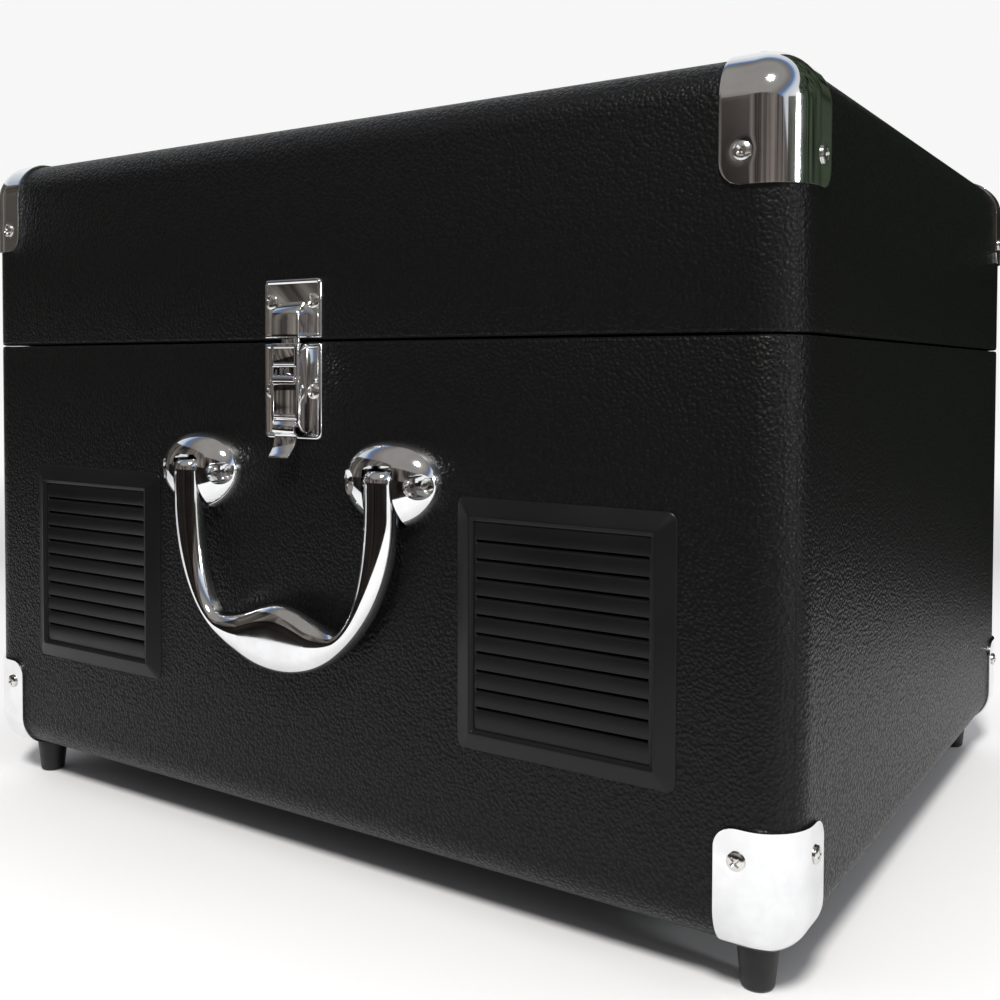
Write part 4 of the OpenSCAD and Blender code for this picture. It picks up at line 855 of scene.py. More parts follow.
def hump_section(z, sunk=0.0, half=HUMP_HALF, roll=1.0):
    """A cross-section of the keeper's hump at a height: flat front, rolled sides."""
    base = LATCH_SHEET - 0.4
    out = HUMP_OUT - sunk
    roll = max(min(roll, out - base - 0.05, half), 0.05)
    right = [(half + 0.5, base), (half, base + 0.35)]
    right += bend((half - roll, out - roll), (roll, roll), (0, 22.5, 45, 67.5, 90))
    return [Vector((x, FRONT_Y - y, z)) for x, y in
            right + [(-x, y) for x, y in reversed(right)]]


def make_keeper():
    """The keeper: a plate whose middle stands out in a hump, closed by a slope above."""
    rim = KEEPER_LOW.z
    slope = HUMP_OUT - LATCH_SHEET - 0.6
    start = rim + 14 - slope - 1
    rows = [hump_section(rim + 0.05, 0.55, HUMP_HALF - 0.2), hump_section(rim + 0.3, 0.15),
            hump_section(rim + 0.7)]
    rows += [hump_section(rim + 2 + (start - rim - 2) * i / 3) for i in range(4)]
    for part in (i / 8 for i in range(1, 9)):
        sunk = slope * (1 - math.cos(math.radians(74 * part))) / 0.724
        rows.append(hump_section(start + (slope + 1) * part, sunk, HUMP_HALF - 1.6 * part ** 2,
                                 1.1 + 0.4 * math.sin(math.radians(90 * part))))
    cutter = extrude(corners_of(FRONT_Y + 1, rim - 1, HUMP_Y + 1.3, rim + 7), -5.9, 5.9)
    dress([pressed_plate(KEEPER_LOW, KEEPER_HIGH, [0.6, 0.6, 2.2, 2.2]),
           cut(loft(rows, smooth_angle=50), [cutter], 50)],
          "keeper_pressed", "lid", "chrome", "latch_keeper")


def make_plate():
    """The base's plate: two cheeks with a bridge above. The lever's pin, made on its own, lies
    between them.
    """
    pieces = [pressed_plate(PLATE_LOW, PLATE_HIGH, [2.6, 2.6, 0.6, 0.6])]
    rim, toe = PLATE_HIGH.z, PLATE_LOW.z + 2.2
    bridge = rim - 9.2
    side_line = [(rim - 0.05, HUMP_OUT - 0.5), (rim - 0.5, HUMP_OUT), (toe + 9, HUMP_OUT)]
    side_line += [(toe + 9 - 8.4 * math.sin(a),
                   LATCH_SHEET + (HUMP_OUT - LATCH_SHEET) * math.cos(a) ** 0.9)
                  for a in (math.radians(15 * i) for i in range(1, 6))]
    side_line += [(toe, LATCH_SHEET * 0.7), (toe, 0.3), (rim - 0.05, 0.3)]
    outline = [(FRONT_Y - out, z) for z, out in side_line]
    for side in (-1, 1):
        ends = sorted((side * (HUMP_HALF - 1.25), side * HUMP_HALF))
        pieces.append(extrude(outline, *ends, ease=(0.45,)))
    pieces.append(extrude([(HUMP_Y, rim - 0.05), (HUMP_Y, bridge), (HUMP_Y + 1.2, bridge),
                           (HUMP_Y + 1.2, rim - 0.05)], 0.3 - HUMP_HALF, HUMP_HALF - 0.3,
                          ease=(0.4,)))
    rows = []
    for grow, out in ((0.35, -0.3), (0.35, 0.0), (0.1, 0.14), (-0.15, 0.18), (-0.45, 0.1),
                      (-0.6, -0.02)):
        rows.append([Vector((x, HUMP_Y - out, z)) for x, z in corners_of(
            -5.2 - abs(grow), bridge + 1.1 - grow, 5.2 + abs(grow), rim - 1.4 + grow)])
    pieces.append(loft(rows, smooth_angle=50))
    dress(pieces, "latch_plate_pressed", "base", "chrome", "latch_plate")


def make_pin():
    pin = rod((PIN_HIGH.z - PIN_LOW.z) / 2, PIN_LOW.x, PIN_HIGH.x, PIN_PLACE, "X", 32,
              ((0.6, 0), (0.92, 0.15), (1, 0.4)))
    dress(pin, "latch_pin_turned", "base", "chrome", "latch_pin")


def smooth_line(points, pieces):
    """A Catmull-Rom curve through points in a plane."""
    ends = [points[0]] + points + [points[-1]]
    made = []
    for i in range(1, len(ends) - 2):
        p0, p1, p2, p3 = (Vector(p) for p in ends[i - 1:i + 3])
        for t in (step / pieces for step in range(pieces)):
            made.append(0.5 * ((2 * p1) + (p2 - p0) * t + (2 * p0 - 5 * p1 + 4 * p2 - p3) * t ** 2
                               + (3 * p1 - p0 - 3 * p2 + p3) * t ** 3))
    return made + [Vector(points[-1])]


# The lever's face: how far it lies behind the humps, and above the pin or the tab's top
LEVER_BY_PIN = [(-0.75, 0), (-0.55, -1.6), (0.05, -2.4), (0.1, -9)]
LEVER_BY_TAB = [(0.1, 6.2), (-0.25, 5.4), (-0.2, 4.6), (0.35, 4.0), (0.3, 3.2), (-0.6, 2.0),
                (-0.95, 0.6), (-0.7, -0.8), (0.3, -1.9), (0.5, -3), (-0.3, -5.6), (-1.4, -7.6)]


def make_lever():
    """The lever: a barrel, a plate that bulges at its foot, and a finger tab below it."""
    _, low, high = box_middle("latch_lever")
    half = (high.x - low.x) / 2
    line = moved([(0.1, -1.2), (-0.55, -2.0)], HUMP_Y, high.z)
    line += moved(LEVER_BY_PIN, HUMP_Y, PIN_MID.z)
    line += moved(LEVER_BY_TAB, HUMP_Y, PLATE_LOW.z + 3.6)
    line += moved([(0.25, 0.9), (-0.05, 0.1)], low.y, low.z)
    thick, edge = 1.25, 0.35
    rows = []
    for y, z in smooth_line(line, 3):
        part = (high.z - z) / (high.z - low.z)
        wide = half * (1 if part < 0.8 else 1 - 0.12 * (part - 0.8) / 0.2)
        rows.append([Vector((x, y + back, z)) for x, back in (
            (-wide, thick - edge), (-wide, edge), (-wide + edge * 0.3, edge * 0.3),
            (-wide + edge, 0), (0, -0.05), (wide - edge, 0), (wide - edge * 0.3, edge * 0.3),
            (wide, edge), (wide, thick - edge), (wide - edge, thick), (-wide + edge, thick))])
    barrel = rod(high.z - PIN_MID.z, -half, half, PIN_PLACE, "X", 32,
                 ((0.6, 0), (0.9, 0.1), (1, 0.35)))
    dress([loft(rows, smooth_angle=50), barrel], "lever_pressed", "latch_lever", "chrome",
          "latch_lever")


def make_bolt():
    low, high = box("latch_bolt")
    bar = extrude([(low.y, low.z), (low.y, high.z - 1.2), (low.y + 0.5, high.z), (high.y, high.z),
                   (high.y, low.z)], low.x, high.x, ease=(0.2, 30, 2))
    dress(bar, "latch_bolt_bar", "latch_bolt", "chrome", "latch_bolt")


make_keeper()
make_plate()
make_pin()
make_lever()
make_bolt()

# ---- loudspeaker grilles

GRILLE_R = 3.2
BEVEL_W = 8
FIELD_DROP = 1.1
SLOT_COUNT = 10
SLOT_PITCH = 6.5
SLOT_H = 1.5
SLOT_SLOPE = math.tan(math.radians(35))


def grille_frame(centre, half_x, half_z, front):
    """A bevelled frame: a low outer edge, a broad slope, a soft crest and an inner wall."""
    crest = FRONT_Y - front
    rows = []
    for inset, out in ((0, -0.2), (0, 0.25), (0.12, 0.45), (0.4, 0.62), (5.7, crest - 0.25),
                       (6.1, crest - 0.07), (6.45, crest), (6.8, crest - 0.03),
                       (7.0, crest - 0.2), (7.05, crest - 0.55), (7.9, crest - 0.6),
                       (8.0, crest - 0.75), (8.05, 0.2)):
        radius = max(GRILLE_R - inset * 0.38, 0.4)
        x, z = half_x - inset - radius, half_z - inset - radius
        rows.append([Vector((a, FRONT_Y - out, b))
                     for sx, sz, start in ((1, -1, 270), (1, 1, 0), (-1, 1, 90), (-1, -1, 180))
                     for a, b in arc((centre.x + sx * x, centre.z + sz * z), radius, start,
                                     start + 90, 6)])
    return loft(rows, False, 50)


def louvred_field(centre, half_x, half_z, front, back):
    """A plate with sloping slots and eased edges."""
    xs = [-half_x, 1 - half_x, half_x - 1, half_x]
    zs = [-half_z] + [(i - (SLOT_COUNT - 1) / 2) * SLOT_PITCH + side * SLOT_H / 2
                      for i in range(SLOT_COUNT) for side in (-1, 1)] + [half_z]
    verts = []
    for y in (front, back):
        for z in zs:
            rise = (back - front) * SLOT_SLOPE if y == back and abs(z) < half_z else 0
            verts += [Vector((centre.x + x, y, centre.z + z + rise)) for x in xs]
    count = len(zs) * 4

    def solid(column, row):
        inside = 0 <= column < 3 and 0 <= row < len(zs) - 1
        return inside and not (column == 1 and row % 2 == 1)

    faces = []
    for row in range(len(zs) - 1):
        for column in (c for c in range(3) if solid(c, row)):
            a = row * 4 + column
            faces.append((a, a + 1, a + 5, a + 4))
            faces.append(tuple(i + count for i in (a, a + 4, a + 5, a + 1)))
            for beside, (p, q) in (((column, row - 1), (a, a + 1)),
                                   ((column + 1, row), (a + 1, a + 5)),
                                   ((column, row + 1), (a + 5, a + 4)),
                                   ((column - 1, row), (a + 4, a))):
                if not solid(*beside):
                    faces.append((p, p + count, q + count, q))
    obj = add_mesh(verts, faces)
    round_edges(obj, 0.3, 35)
    return settle(obj, 40)


for node in ("speaker_grille_left", "speaker_grille_right"):
    centre, low, high = box_middle(node)
    half_x, half_z = (high.x - low.x) / 2, (high.z - low.z) / 2
    dress([grille_frame(centre, half_x, half_z, low.y),
           louvred_field(centre, half_x - BEVEL_W + 0.1, half_z - BEVEL_W + 0.1,
                         low.y + FIELD_DROP, FRONT_Y - 0.3)],
          f"{node}_moulded", "base", "grille_plastic", node)

# ---- feet and hinges


def make_feet():
    """Tapered feet with a rolled lower edge and a recess below for the screw."""
    feet = []
    for low, high, _ in islands("feet"):
        centre, size = (low + high) / 2, high - low
        wide, top = size.x / 2, size.z
        foot, bore = wide - 1.5, 3.2
        profile = [(bore, 8.9), (bore, 0.9), (bore + 0.3, 0.3), (bore + 0.9, 0)]
        profile += bend((foot - 1.6, 1.6), (1.6, 1.6), (-90, -68, -46, -24, -4))
        profile += [(foot + 1.5 * part, 1.6 + (top - 2.4) * part) for part in (0.25, 0.5, 0.75, 1)]
        profile += [(wide - 0.2, top - 0.3), (wide - 0.7, top)]
        feet.append(lathe(profile, (centre.x, centre.y, low.z), smooth_angle=40))
    dress(feet, "feet_moulded", "base", "foot_rubber", "feet")


HINGE_MID = box_middle("hinge_pins")[0]
BACK_Y = BASE_HIGH.y
LEAF_T = 1.5
KNUCKLES = 5


def hinge_leaf(middle, half_w, far_z, up):
    """A leaf with rounded far corners, and the straps and rolled knuckles that hold it."""
    knuckle_r = HINGE_MID.z - box("hinge_lid_leaves")[0].z
    near_z = HINGE_MID.z + up * (knuckle_r + 0.3)
    outline = [(middle - half_w, near_z), (middle + half_w, near_z)]
    for side, start in ((1, 0), (-1, 90)):
        start, end = (start, start + 90) if up > 0 else (360 - start, 270 - start)
        outline += arc((middle + side * (half_w - 3), far_z - up * 3), 3, start, end, 6)
    pieces = [extrude(outline, BACK_Y, BACK_Y + LEAF_T, "Y", (0.3,))]
    width = 2 * half_w / KNUCKLES
    half = width / 2 - 0.15
    end = [(1.55 - knuckle_r, 0), (-0.35, 0), (-0.1, 0.1), (0, 0.35)]
    profile = moved(end, knuckle_r, -half)
    profile += [(r, -a) for r, a in reversed(profile)]
    for i in range(0 if up < 0 else 1, KNUCKLES, 2):
        x = middle - half_w + (i + 0.5) * width
        pieces.append(lathe(profile, (x, HINGE_MID.y, HINGE_MID.z), "X", 40, hollow=True))
        pieces.append(extrude([(BACK_Y, near_z + up * 0.6), (BACK_Y, HINGE_MID.z + up * 1.2),
                               (BACK_Y + LEAF_T, HINGE_MID.z + up * 2.2),
                               (BACK_Y + LEAF_T, near_z + up * 0.6)], x - half, x + half))
    return pieces


def make_hinges():
    for body, up in (("base", -1), ("lid", 1)):
        node = f"hinge_{body}_leaves"
        far = box(node)[1 if up > 0 else 0].z
        pieces = []
        for low, high, _ in islands("hinge_pins"):
            pieces += hinge_leaf((low.x + high.x) / 2, (high.x - low.x) / 2 - 0.5, far, up)
        dress(pieces, f"{node}_pressed", body, "hinge_steel", node)
    pins = [rod((high.z - low.z) / 2, low.x, high.x, (0, HINGE_MID.y, HINGE_MID.z), "X", 24,
                ((0.7, 0), (1, 0.35))) for low, high, _ in islands("hinge_pins")]
    dress(pins, "hinge_pins_turned", "base", "hinge_steel", "hinge_pins")


make_feet()
make_hinges()

# ---- turntable


def make_platter():
    centre, low, high = box_middle("platter")
    rim, tall = (high.x - low.x) / 2, high.z - low.z
    drum, hub, bore = 45, 12, 4.05
    under = tall - 4
    profile = [(bore, 1.5), (hub, 1.5), (hub, under), (drum - 4, under), (drum - 4, 1.5),
               (drum, 1.5), (drum, under), (rim - 4, under), (rim - 4, 0), (rim - 0.7, 0),
               (rim - 0.2, 0.2), (rim, 0.7), (rim, 3.4), (rim - 0.5, 3.9), (rim - 0.5, 4.7),
               (rim, 5.2), (rim, tall - 1.6)]
    profile += bend((rim - 1.6, tall - 1.6), (1.6, 1.6), (22, 45, 68, 90)) + [(bore, tall)]
    obj = lathe(profile, (centre.x, centre.y, low.z), segments=160, smooth_angle=30, hollow=True)
    dress(obj, "platter_turned", "platter", "platter_metal", "platter")


def make_mat():
    """A rubber mat with fine ribs, smooth under the record's label and at its rim."""
    centre, low, high = box_middle("platter_mat")
    rim, thick = (high.x - low.x) / 2, high.z - low.z
    label, bore, pitch = 50, 4.3, 1.8
    profile = [(bore, 0), (rim - 0.4, 0), (rim, 0.5), (rim, thick - 0.7), (rim - 0.2, thick - 0.2),
               (rim - 0.8, thick), (rim - 3, thick)]
    for i in range(int((rim - 5 - label) / pitch)):
        profile += moved([(-0.25 * pitch, -0.55), (-0.5 * pitch, -0.62), (-0.68 * pitch, -0.5),
                          (-0.9 * pitch, 0)], rim - 3 - i * pitch, thick)
    profile += [(label + 0.8, thick), (label, thick - 0.8), (bore, thick - 0.8)]
    obj = lathe(profile, (centre.x, centre.y, low.z), segments=128, smooth_angle=30, hollow=True)
    dress(obj, "platter_mat_ribbed", "platter", "mat_rubber", "platter_mat")


def make_spindle():
    centre, low, high = box_middle("spindle")
    tall = high.z - low.z
    profile = [(3, 0), (4, 1), (4, tall - 13.2), (3.55, tall - 12.75), (3.55, tall - 3)]
    profile += bend((0, tall - 3), (3.55, 3), (15, 30, 45, 60, 75, 88)) + [(TIP, tall)]
    dress(lathe(profile, (centre.x, centre.y, low.z), segments=48), "spindle_turned", "platter",
          "platter_metal", "spindle")


# ---- tonearm

ARM_X, _, ARM_Z = box_middle("tonearm_tube")[0]
ARM_Y = box_middle("tonearm_yoke")[0].y
ARM = (ARM_X, ARM_Y, ARM_Z)
PILLAR = (ARM_X, ARM_Y, 0)
ARM_ACROSS = (0, ARM_Y, ARM_Z)


def make_arm():
    """The arm: a hub with rounded corners, a slim tube with collars, and the rear stub."""
    low, high = box("tonearm_tube")
    front, back = low.y - ARM_Y, high.y - ARM_Y
    tube = [(3.1, front), (3.4, front + 0.3), (3.4, -16), (3.9, -15.4), (3.9, -13), (3.5, -12.4),
            (3.5, -11), (4.3, -10), (4.3, -6)]
    dress([lathe(tube, ARM, "Y", 40),
           lathe([(3.7, 6), (3.7, 9), (2.5, 10), (2.5, back)], ARM, "Y", 40),
           extrude(corners_of(ARM_Y - 7, ARM_Z - 5, ARM_Y + 7, ARM_Z + 5), ARM_X - 6.2,
                   ARM_X + 6.2, ease=(0.9, 40, 4)),
           rod(1.45, low.x, high.x, ARM_ACROSS, "X")],
          "tonearm_cast", "tonearm", "arm_metal", "tonearm_tube")


def make_yoke():
    """A shaft with a disc, and an ear with a bearing screw on each side of the arm."""
    low, high = box("tonearm_yoke")
    disc_z = high.z - 13.7
    disc = [(9.4, 0), (10, 0.5), (10, 1.9), (9.6, 2.4), (9.0, 2.5)]
    pieces = [rod(4, low.z, disc_z + 1, PILLAR, "Z", 40),
              lathe(moved(disc, 0, disc_z), PILLAR)]
    for side in (-1, 1):
        inner, outer = ARM_X + side * 6.5, ARM_X + side * 9
        outline = [(ARM_Y + 5, disc_z + 1), (ARM_Y + 4.6, ARM_Z - 2)]
        outline += arc((ARM_Y, ARM_Z - 0.6), 4.6, 0, 180, 12)
        outline += [(ARM_Y - 4.6, ARM_Z - 2), (ARM_Y - 5, disc_z + 1)]
        pieces.append(extrude(outline, *sorted((inner, outer)), ease=(0.4,)))
        ends = sorted((outer - side * 0.3, outer + side * 0.9))
        pieces.append(rod(2.2, *ends, ARM_ACROSS, "X"))
    dress(pieces, "tonearm_yoke_cast", "tonearm_yoke", "arm_metal", "tonearm_yoke")


SHELL_LINE = [(-4.2, -6), (4.2, -6), (6.6, -2.5), (7.6, 4), (7.2, 14), (4.6, 20.5),
              (-4.6, 20.5), (-7.2, 14), (-7.6, 4), (-6.6, -2.5)]
# The finger lift: how far out it is at each section, how high, and its slope
LIFT_LINE = ((6.6, -0.6, 0), (8.5, -0.7, 0), (10.5, -0.4, 15), (12.4, 0.5, 35), (13.8, 1.9, 50),
             (14.8, 3.6, 60))
LIFT_SECTION = ((-3.6, -0.4), (0.6, -0.4), (0.9, 0), (0.6, 0.4), (-3.6, 0.4), (-3.9, 0))


def make_headshell():
    """The headshell with its collar, finger lift and screws, and the cartridge below it."""
    low, high = box("cartridge")
    tip_y, neck_y = low.y + 6, high.y
    collar = [(3.6, tip_y + 17), (4.3, tip_y + 20)]
    collar += moved([(4.3, -2.6), (3.9, -2.2), (4.3, -1.8), (4.3, -0.4), (3.9, 0), (3.5, 0),
                     (3.5, -3)], 0, neck_y)
    rows = []
    for out, lift, slope in LIFT_LINE:
        x, z = math.sin(math.radians(slope)), math.cos(math.radians(slope))
        rows.append([Vector((ARM_X + out - o * x, tip_y + y, ARM_Z + lift + o * z))
                     for y, o in LIFT_SECTION])
    pieces = [extrude(moved(SHELL_LINE, ARM_X, tip_y), ARM_Z - 2.6, ARM_Z + 1.2, "Z",
                      (0.8, 20, 4)),
              lathe(collar, (ARM_X, 0, ARM_Z), "Y", 40), loft(rows)]
    screw = moved([(1.3, 1.1), (1.3, 1.7), (1.0, 1.95)], 0, ARM_Z)
    pieces += [lathe(screw, (ARM_X + a, tip_y + 5, 0), segments=24) for a in (-3.4, 3.4)]
    body_low = ARM_Z - 10.5
    pieces.append(extrude(corners_of(ARM_X - 5.6, tip_y - 3.6, ARM_X + 5.6, tip_y + 11.6),
                          body_low + 1.6, ARM_Z - 2.5, "Z", (0.7, 30)))
    dress(pieces, "cartridge_moulded", "tonearm", "black_plastic", "cartridge")
    guard = moved([(-4.2, 2.6), (-3.4, 0), (4, -0.6), (6.5, 1.0), (6.5, 2.6)], tip_y, body_low)
    tip = [(0.25, low.z + 0.3), (0.6, low.z + 1.6), (0.9, body_low + 0.5)]
    dress([extrude(guard, ARM_X - 3.6, ARM_X + 3.6, ease=(0.5, 30)),
           lathe([(TIP, low.z)] + tip, (ARM_X, tip_y, 0), segments=16)],
          "stylus_guard", "tonearm", "wire_red", "cartridge")


def make_counterweight():
    centre, low, high = box_middle("counterweight")
    r = (high.x - low.x) / 2
    profile = moved([(2.6, 0), (r - 3.4, 0), (r - 1.6, 0.8), (r - 1.6, 4), (r - 0.4, 4.6),
                     (r, 5.2)], 0, low.y)
    profile += moved([(r, -2.2), (r - 0.4, -1.6), (r - 1.2, -1.2), (r - 2, -0.2), (r - 2.8, 0),
                      (2.4, 0), (2.0, -0.8)], 0, high.y)
    obj = lathe(profile, (centre.x, 0, centre.z), "Y", 288, 40, flutes=(48, 0.4, (6, 7)))
    dress(obj, "counterweight_turned", "tonearm", "motor_steel", "counterweight")


def make_arm_base():
    """A column on a flange, and a bracket with two ears for the cueing lever."""
    low = box("tonearm_base")[0]
    cue, _, cue_high = box_middle("cue_lever")
    cue_y = cue_high.y - 3.5
    flange = [(5.6, 0), (16, 0), (16, 2), (15.6, 2.6), (15, 3), (10.6, 3), (9.5, 3.5), (9, 4.6)]
    cap = [(9, -5.4), (8.5, -5), (8.5, -4.4), (9, -4), (9, -0.8), (8.8, -0.2), (8.2, 0)]
    profile = [(5.6, low.z)] + moved(flange, 0, DECK_Z) + moved(cap, 0, ARM_Z - 10)
    bracket = [(ARM_X, cue_y - 5.8), (cue.x + 5, cue_y - 5.8), (cue.x + 7.8, cue_y - 3),
               (cue.x + 7.8, ARM_Y - 3), (cue.x + 5, ARM_Y), (ARM_X, ARM_Y)]
    pieces = [lathe(profile, PILLAR),
              extrude(bracket, DECK_Z + 0.02, DECK_Z + 2.9, "Z", (0.8, 30))]
    outline = [(cue_y + 5, DECK_Z + 1.5)] + arc((cue_y, cue.z), 4, 0, 180, 12)
    outline += [(cue_y - 5, DECK_Z + 1.5)]
    pieces += [extrude(outline, *ends, ease=(0.4,)) for ends in
               ((cue.x - 6.95, cue.x - 4.05), (cue.x + 4.05, cue.x + 6.95))]
    dress(pieces, "tonearm_base_cast", "base", "arm_metal", "tonearm_base")


def make_cue_lever():
    centre, low, high = box_middle("cue_lever")
    hub_y, ball_y = high.y - 3.5, low.y + 3.2
    hub = (0, hub_y, centre.z)
    rows = []
    for part in (0, 0.2, 0.45, 0.7, 0.9, 1):
        ring = bend((centre.x, centre.z), (1.5 - 0.35 * part, 1.5 - 0.25 * part),
                    [18 * i for i in range(20)])
        rows.append([Vector((x, hub_y + (ball_y - hub_y) * part, z)) for x, z in ring])
    ball = [(TIP, -3.15)] + bend((0, 0), (3.15, 3.15), range(-75, 90, 15)) + [(TIP, 3.15)]
    dress([lathe(moved([(3.1, -3.7), (3.5, -3.3), (3.5, 3.3), (3.1, 3.7)], 0, centre.x), hub,
                 "X", 32),
           rod(1.4, low.x, high.x, hub, "X"), loft(rows),
           lathe(ball, (centre.x, ball_y, centre.z), "Y", 32)],
          "cue_lever_moulded", "cue_lever", "black_plastic", "cue_lever")


def make_arm_rest():
    """A post on a round foot, with a cradle for the tube."""
    centre, low, high = box_middle("arm_rest")
    post_x = high.x - 2.5
    shelf = ARM_Z - 3.8
    outline = moved([(0.2, -0.2), (0, -2.2), (2, -3)], low.x, shelf) + [
        (post_x - 2.4, shelf - 3), (post_x - 2.4, low.z + 1), (post_x + 2.4, low.z + 1)]
    outline += moved([(2.4, -1.4), (1.2, 0), (-1.2, 0), (-2.4, -1.6)], post_x, high.z)
    outline += [(post_x - 2.4, shelf), (low.x + 3, shelf)]
    foot = moved([(4, 0), (4, 1.2), (3.4, 1.8)], 0, low.z)
    dress([extrude(outline, centre.y - 3.8, centre.y + 3.8, "Y", (0.6, 25)),
           lathe(foot, (post_x - 1.4, centre.y, 0), segments=40)],
          "arm_rest_moulded", "base", "black_plastic", "arm_rest")


# ---- controls and sockets


def make_knob(node):
    """A turned knob with a knurled skirt, a bright face and a pointer groove."""
    centre, low, high = box_middle(node)
    radius = (high.x - low.x) / 2
    start = high.z - 12
    profile = [(2.95, low.z), (2.95, start + 0.4)]
    profile += moved([(-1.4, 0.4), (-0.6, 0), (-0.1, 0.3), (-0.1, 2), (-0.6, 2.4), (-0.4, 2.8)],
                     radius, start)
    profile += moved([(-1.0, -1.3), (-1.3, -0.6), (-2.0, -0.15), (-2.6, 0), (-3.2, -0.45)],
                     radius, high.z)
    obj = lathe(profile, (centre.x, centre.y, 0), "Z", 336, 40, flutes=(56, 0.42, (8, 9)))
    groove = extrude(corners_of(centre.x - 0.6, centre.y + radius - 6, centre.x + 0.6,
                                centre.y + radius + 1), high.z - 1.2, high.z + 1, "Z")
    dress(cut(obj, [groove], 40), f"{node}_turned", node, "knob_metal", node)


def make_selector():
    centre, low, high = box_middle("speed_selector")
    radius = (high.x - low.x) / 2
    top = high.z - 5
    disc = [(2.95, low.z), (2.95, top - 4)]
    disc += moved([(-0.5, -4), (0, -3.5), (0, -0.9), (-0.3, -0.3), (-0.9, 0)], radius, top)
    rows = []
    for part, half, sunk in ((-1, 0.8, 0.8), (-0.94, 1.1, 0.2), (-0.5, 1.45, 0), (0, 1.5, 0),
                             (0.5, 1.3, 0), (0.94, 0.8, 0.2), (1, 0.5, 0.8)):
        y, ridge = centre.y + part * (radius - 0.4), high.z - sunk
        right = [(half, top - 1), (half, ridge - 0.8), (half * 0.75, ridge - 0.2),
                 (half * 0.3, ridge)]
        rows.append([Vector((centre.x + x, y, z))
                     for x, z in [(-half, top - 1)] + right + [(-x, z) for x, z in right[:0:-1]]])
    dress([lathe(disc, (centre.x, centre.y, 0)), loft(rows, smooth_angle=45)],
          "speed_selector_moulded", "speed_selector", "black_plastic", "speed_selector")


def make_sockets():
    """Turned sockets: a power inlet with its pin, a jack, and two with insulating rings."""
    panel = PANEL_HIGH.y
    metal_pieces, liners = [], {"wire_red": [], "black_plastic": []}
    # Each socket's collar and bore, its liner's bore if it is open, and the liner's slot
    kinds = ((5.1, 2.75, None, "black_plastic"), (4.1, 1.75, None, "black_plastic"),
             (4.1, 3.1, 1.7, "wire_red"), (4.1, 3.1, 1.7, "black_plastic"))
    solids = sorted(islands("rear_sockets"), key=lambda solid: solid[0].x)
    for (low, high, _), (collar, bore, inner, slot) in zip(solids, kinds):
        out, nut = high.y, collar + 1.6
        place = ((low.x + high.x) / 2, 0, (low.z + high.z) / 2)
        profile = [(bore, panel - 0.5), (bore, out), (collar - 0.4, out), (collar, out - 0.4)]
        if inner:
            profile.append((collar, panel + 2.6))
            ring = [(inner, out - 0.7), (3.05, out - 0.7), (3.05, panel), (inner, panel)]
            liners[slot].append(lathe(ring, place, "Y", 40, hollow=True))
        else:
            floor = panel - 0.4
            cup = [(bore - 0.3, floor), (bore - 0.3, out - 0.6), (bore - 0.03, out - 0.6),
                   (bore - 0.03, floor - 0.05)]
            liners[slot].append(lathe(cup, place, "Y", 40))
        profile += moved([(collar, 1.9), (nut - 0.4, 1.9), (nut, 1.5), (nut, 0.05), (3, 0.05)],
                         0, panel)
        metal_pieces.append(lathe(profile + [(3, low.y)], place, "Y", 48))
        if collar > 5:
            pin = [(0.7, out - 1.2), (1.0, out - 1.6), (1.0, panel - 1)]
            metal_pieces.append(lathe(pin, place, "Y", 24))
    dress(metal_pieces, "rear_sockets_turned", "base", "socket_metal", "rear_sockets")
    for slot, pieces in liners.items():
        dress(pieces, f"socket_ring_{slot}", "base", slot, "rear_sockets")


for make in (make_platter, make_mat, make_spindle, make_arm, make_yoke, make_headshell,
             make_counterweight, make_arm_base, make_cue_lever, make_arm_rest):
    make()
make_knob("volume_knob")
make_knob("tone_knob")
make_selector()
make_sockets()
dress_screws("inner_screws", "base")
dress_screws("deck_screws", "base")

# ---- stage, in metres

FLOOR_REACH = 6
FLOOR_GLOW = 0.2
BACKDROP = 0.93
FADE_START, FADE_END = 0.5, 1.9
# Screens seen only in reflections: their colours and mottle are painted reflections of a dark room
# Each screen's foot from one corner to the other, its height, its two colours, its mottle
REFLECTION_SCREENS = {
    "screen_left": ((-2.0, 0.3), (-0.6, -1.5), 0.9,
                    (0.02, 0.018, 0.016), (0.30, 0.27, 0.24), (1.6, 1.6, 0.35)),
    "screen_front": ((-0.6, -1.5), (2.4, -1.5), 0.75,
                     (0.015, 0.013, 0.012), (0.34, 0.29, 0.26), (1.9, 1.9, 0.3)),
    "screen_side": ((2.4, -1.5), (2.6, -0.72), 0.9,
                    (0.02, 0.02, 0.018), (0.3, 0.31, 0.26), (5, 5, 0.4)),
    "screen_near": ((-1.1, -0.47), (0.8, -0.47), 0.165,
                    (0.012, 0.01, 0.009), (0.05, 0.042, 0.036), (3, 3, 3)),
    "screen_right": ((2.1, -0.3), (0.1, 0.5), 1.2,
                     (0.006, 0.008, 0.006), (0.051, 0.068, 0.044), (4, 4, 2)),
}
# Colours of the sky by how steeply a ray goes up; the white wall leans towards the back
# The blue band and the grey ceiling are painted reflections: the sky as light has neither
SKY_AS_REFLECTED = ((0.35, (0.93, 0.93, 0.93)), (0.66, (0.62, 0.66, 0.7)),
               (0.76, (0.1, 0.2, 0.42)), (0.86, (0.19, 0.175, 0.16)), (1, (0.3, 0.285, 0.27)))
WALL_LEAN = 0.7
SKY_AS_LIGHT = ((0.1, (0.04, 0.04, 0.04)), (0.7, (0.38, 0.38, 0.4)))
# Each lamp's place, diameter, watts and colour
LAMPS = {
    "lamp_front": ((0.73, -1.53, 1.97), 0.45, 57, (1, 0.98, 0.95)),
    "lamp_right": ((2.25, -0.4, 0.68), 0.4, 11, (0.97, 0.99, 1)),
}


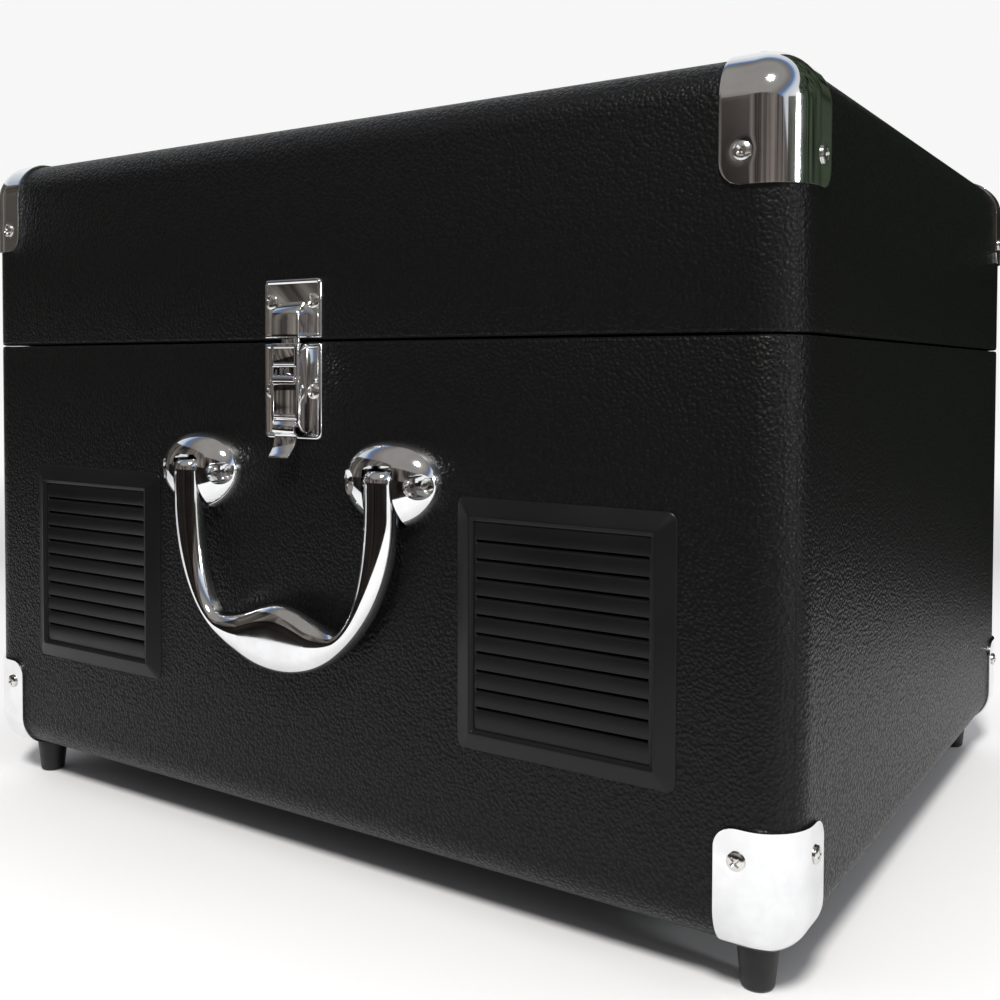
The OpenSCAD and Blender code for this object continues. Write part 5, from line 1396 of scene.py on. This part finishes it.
def stage_sheet(name, corners, low, high, roughness, stretch=(1, 1, 1)):
    """A flat sheet of the studio, mottled between two colours."""
    mesh = bpy.data.meshes.new(name)
    mesh.from_pydata(corners, [], [(0, 1, 2, 3)])
    sheet = add_object(name, mesh)
    s = Shader(name, Roughness=roughness, Specular_IOR_Level=0)
    mottle = s.ramp(s.noise(3, 2, place=s.place(stretch)), low, high, 0.35, 0.65)
    s.link(mottle, "Base Color")
    mesh.materials.append(s.material)
    return sheet, s, mottle


def seen_by(tree, *kinds):
    """1 for the rays of these kinds, such as Camera or Glossy."""
    rays = add_node(tree, "LightPath").outputs
    total = rays[f"Is {kinds[0]} Ray"]
    for kind in kinds[1:]:
        total = add_node(tree, "Math", {"operation": "MAXIMUM"}, _0=total,
                         _1=rays[f"Is {kind} Ray"]).outputs["Value"]
    return total


def make_floor():
    """A white table. Where it is looked at it glows a little, but not in the shadows, where
    ambient occlusion dims the glow as painted shade; far off it fades into the backdrop."""
    _, s, mottle = stage_sheet("floor", [(x, y, 0) for x, y in corners_of(
        -FLOOR_REACH, -FLOOR_REACH, FLOOR_REACH, FLOOR_REACH)],
        (0.86, 0.86, 0.865), (0.88, 0.88, 0.885), 0.6)
    # Painted shade: ambient occlusion dims the glow near and under the case
    open_sky = s.node("AmbientOcclusion", {"samples": 8}, Distance=0.12).outputs["AO"]
    glow = s.math("MULTIPLY", s.math("POWER", open_sky, 3.0), FLOOR_GLOW)
    far_off = s.node("VectorMath", {"operation": "LENGTH"}, _0=s.place()).outputs["Value"]
    fade = s.node("MapRange", Value=far_off, From_Min=FADE_START, From_Max=FADE_END,
                  To_Max=BACKDROP).outputs["Result"]
    seen = seen_by(s.tree, "Camera", "Glossy", "Transmission")
    s.surface.inputs["Emission Color"].default_value = (1, 1, 1, 1)
    s.link(s.math("MULTIPLY", seen, s.math("MAXIMUM", glow, fade)), "Emission Strength")
    s.link(s.node("Mix", {"data_type": "RGBA"}, Factor=s.math("MULTIPLY", seen, fade), A=mottle,
                  B=(0, 0, 0, 1)).outputs["Result"], "Base Color")


def make_reflection_screens():
    """Dark screens that only polish and gloss can see: painted reflections of a dark room, so that
    metal has contrast.
    """
    for name, ((ax, ay), (bx, by), high, dark, light, stretch) in REFLECTION_SCREENS.items():
        corners = [(ax, ay, 0), (bx, by, 0), (bx, by, high), (ax, ay, high)]
        screen = stage_sheet(name, corners, dark, light, 0.9, stretch)[0]
        screen.visible_camera = False
        screen.visible_diffuse = False
        screen.visible_shadow = False


def make_world():
    """White behind the case. Metal also sees painted reflections of a blue band over it and
    a grey ceiling. As light, the sky is weak near the horizon and stronger overhead."""
    world = bpy.data.worlds.new("world")
    bpy.context.scene.world = world
    world.use_nodes = True
    tree = world.node_tree
    ray = add_node(tree, "SeparateXYZ",
                   _0=add_node(tree, "TexCoord").outputs["Generated"]).outputs
    lean = add_node(tree, "Math", {"operation": "MULTIPLY_ADD"}, _0=ray["Y"], _1=-WALL_LEAN,
                    _2=ray["Z"]).outputs["Value"]

    def sky(stops, height=ray["Z"]):
        made = add_node(tree, "ValToRGB", Fac=height)
        for _ in stops[2:]:
            made.color_ramp.elements.new(1)
        for stop, (spot, color) in zip(made.color_ramp.elements, stops):
            stop.position, stop.color = spot, (*color, 1)
        return made.outputs["Color"]

    def choose(kinds, otherwise, seen):
        return add_node(tree, "Mix", {"data_type": "RGBA"}, Factor=seen_by(tree, *kinds),
                        A=otherwise, B=seen).outputs["Result"]

    color = choose(("Glossy", "Transmission"), sky(SKY_AS_LIGHT), sky(SKY_AS_REFLECTED, lean))
    color = choose(("Camera",), color, sky([(0, (BACKDROP,) * 3), (1, (BACKDROP,) * 3)]))
    tree.links.new(color, tree.nodes["Background"].inputs["Color"])


def make_lamps():
    for name, (place, size, power, tint) in LAMPS.items():
        data = bpy.data.lights.new(name, "AREA")
        data.shape = "DISK"
        data.size = size
        data.energy = power
        data.color = tint
        lamp = add_object(name, data)
        lamp.location = place
        aim = Vector((0, 0, 0.1)) - Vector(place)
        lamp.rotation_euler = aim.to_track_quat("-Z", "Y").to_euler()


make_floor()
make_reflection_screens()
make_world()
make_lamps()
bpy.context.scene.view_settings.view_transform = "Standard"
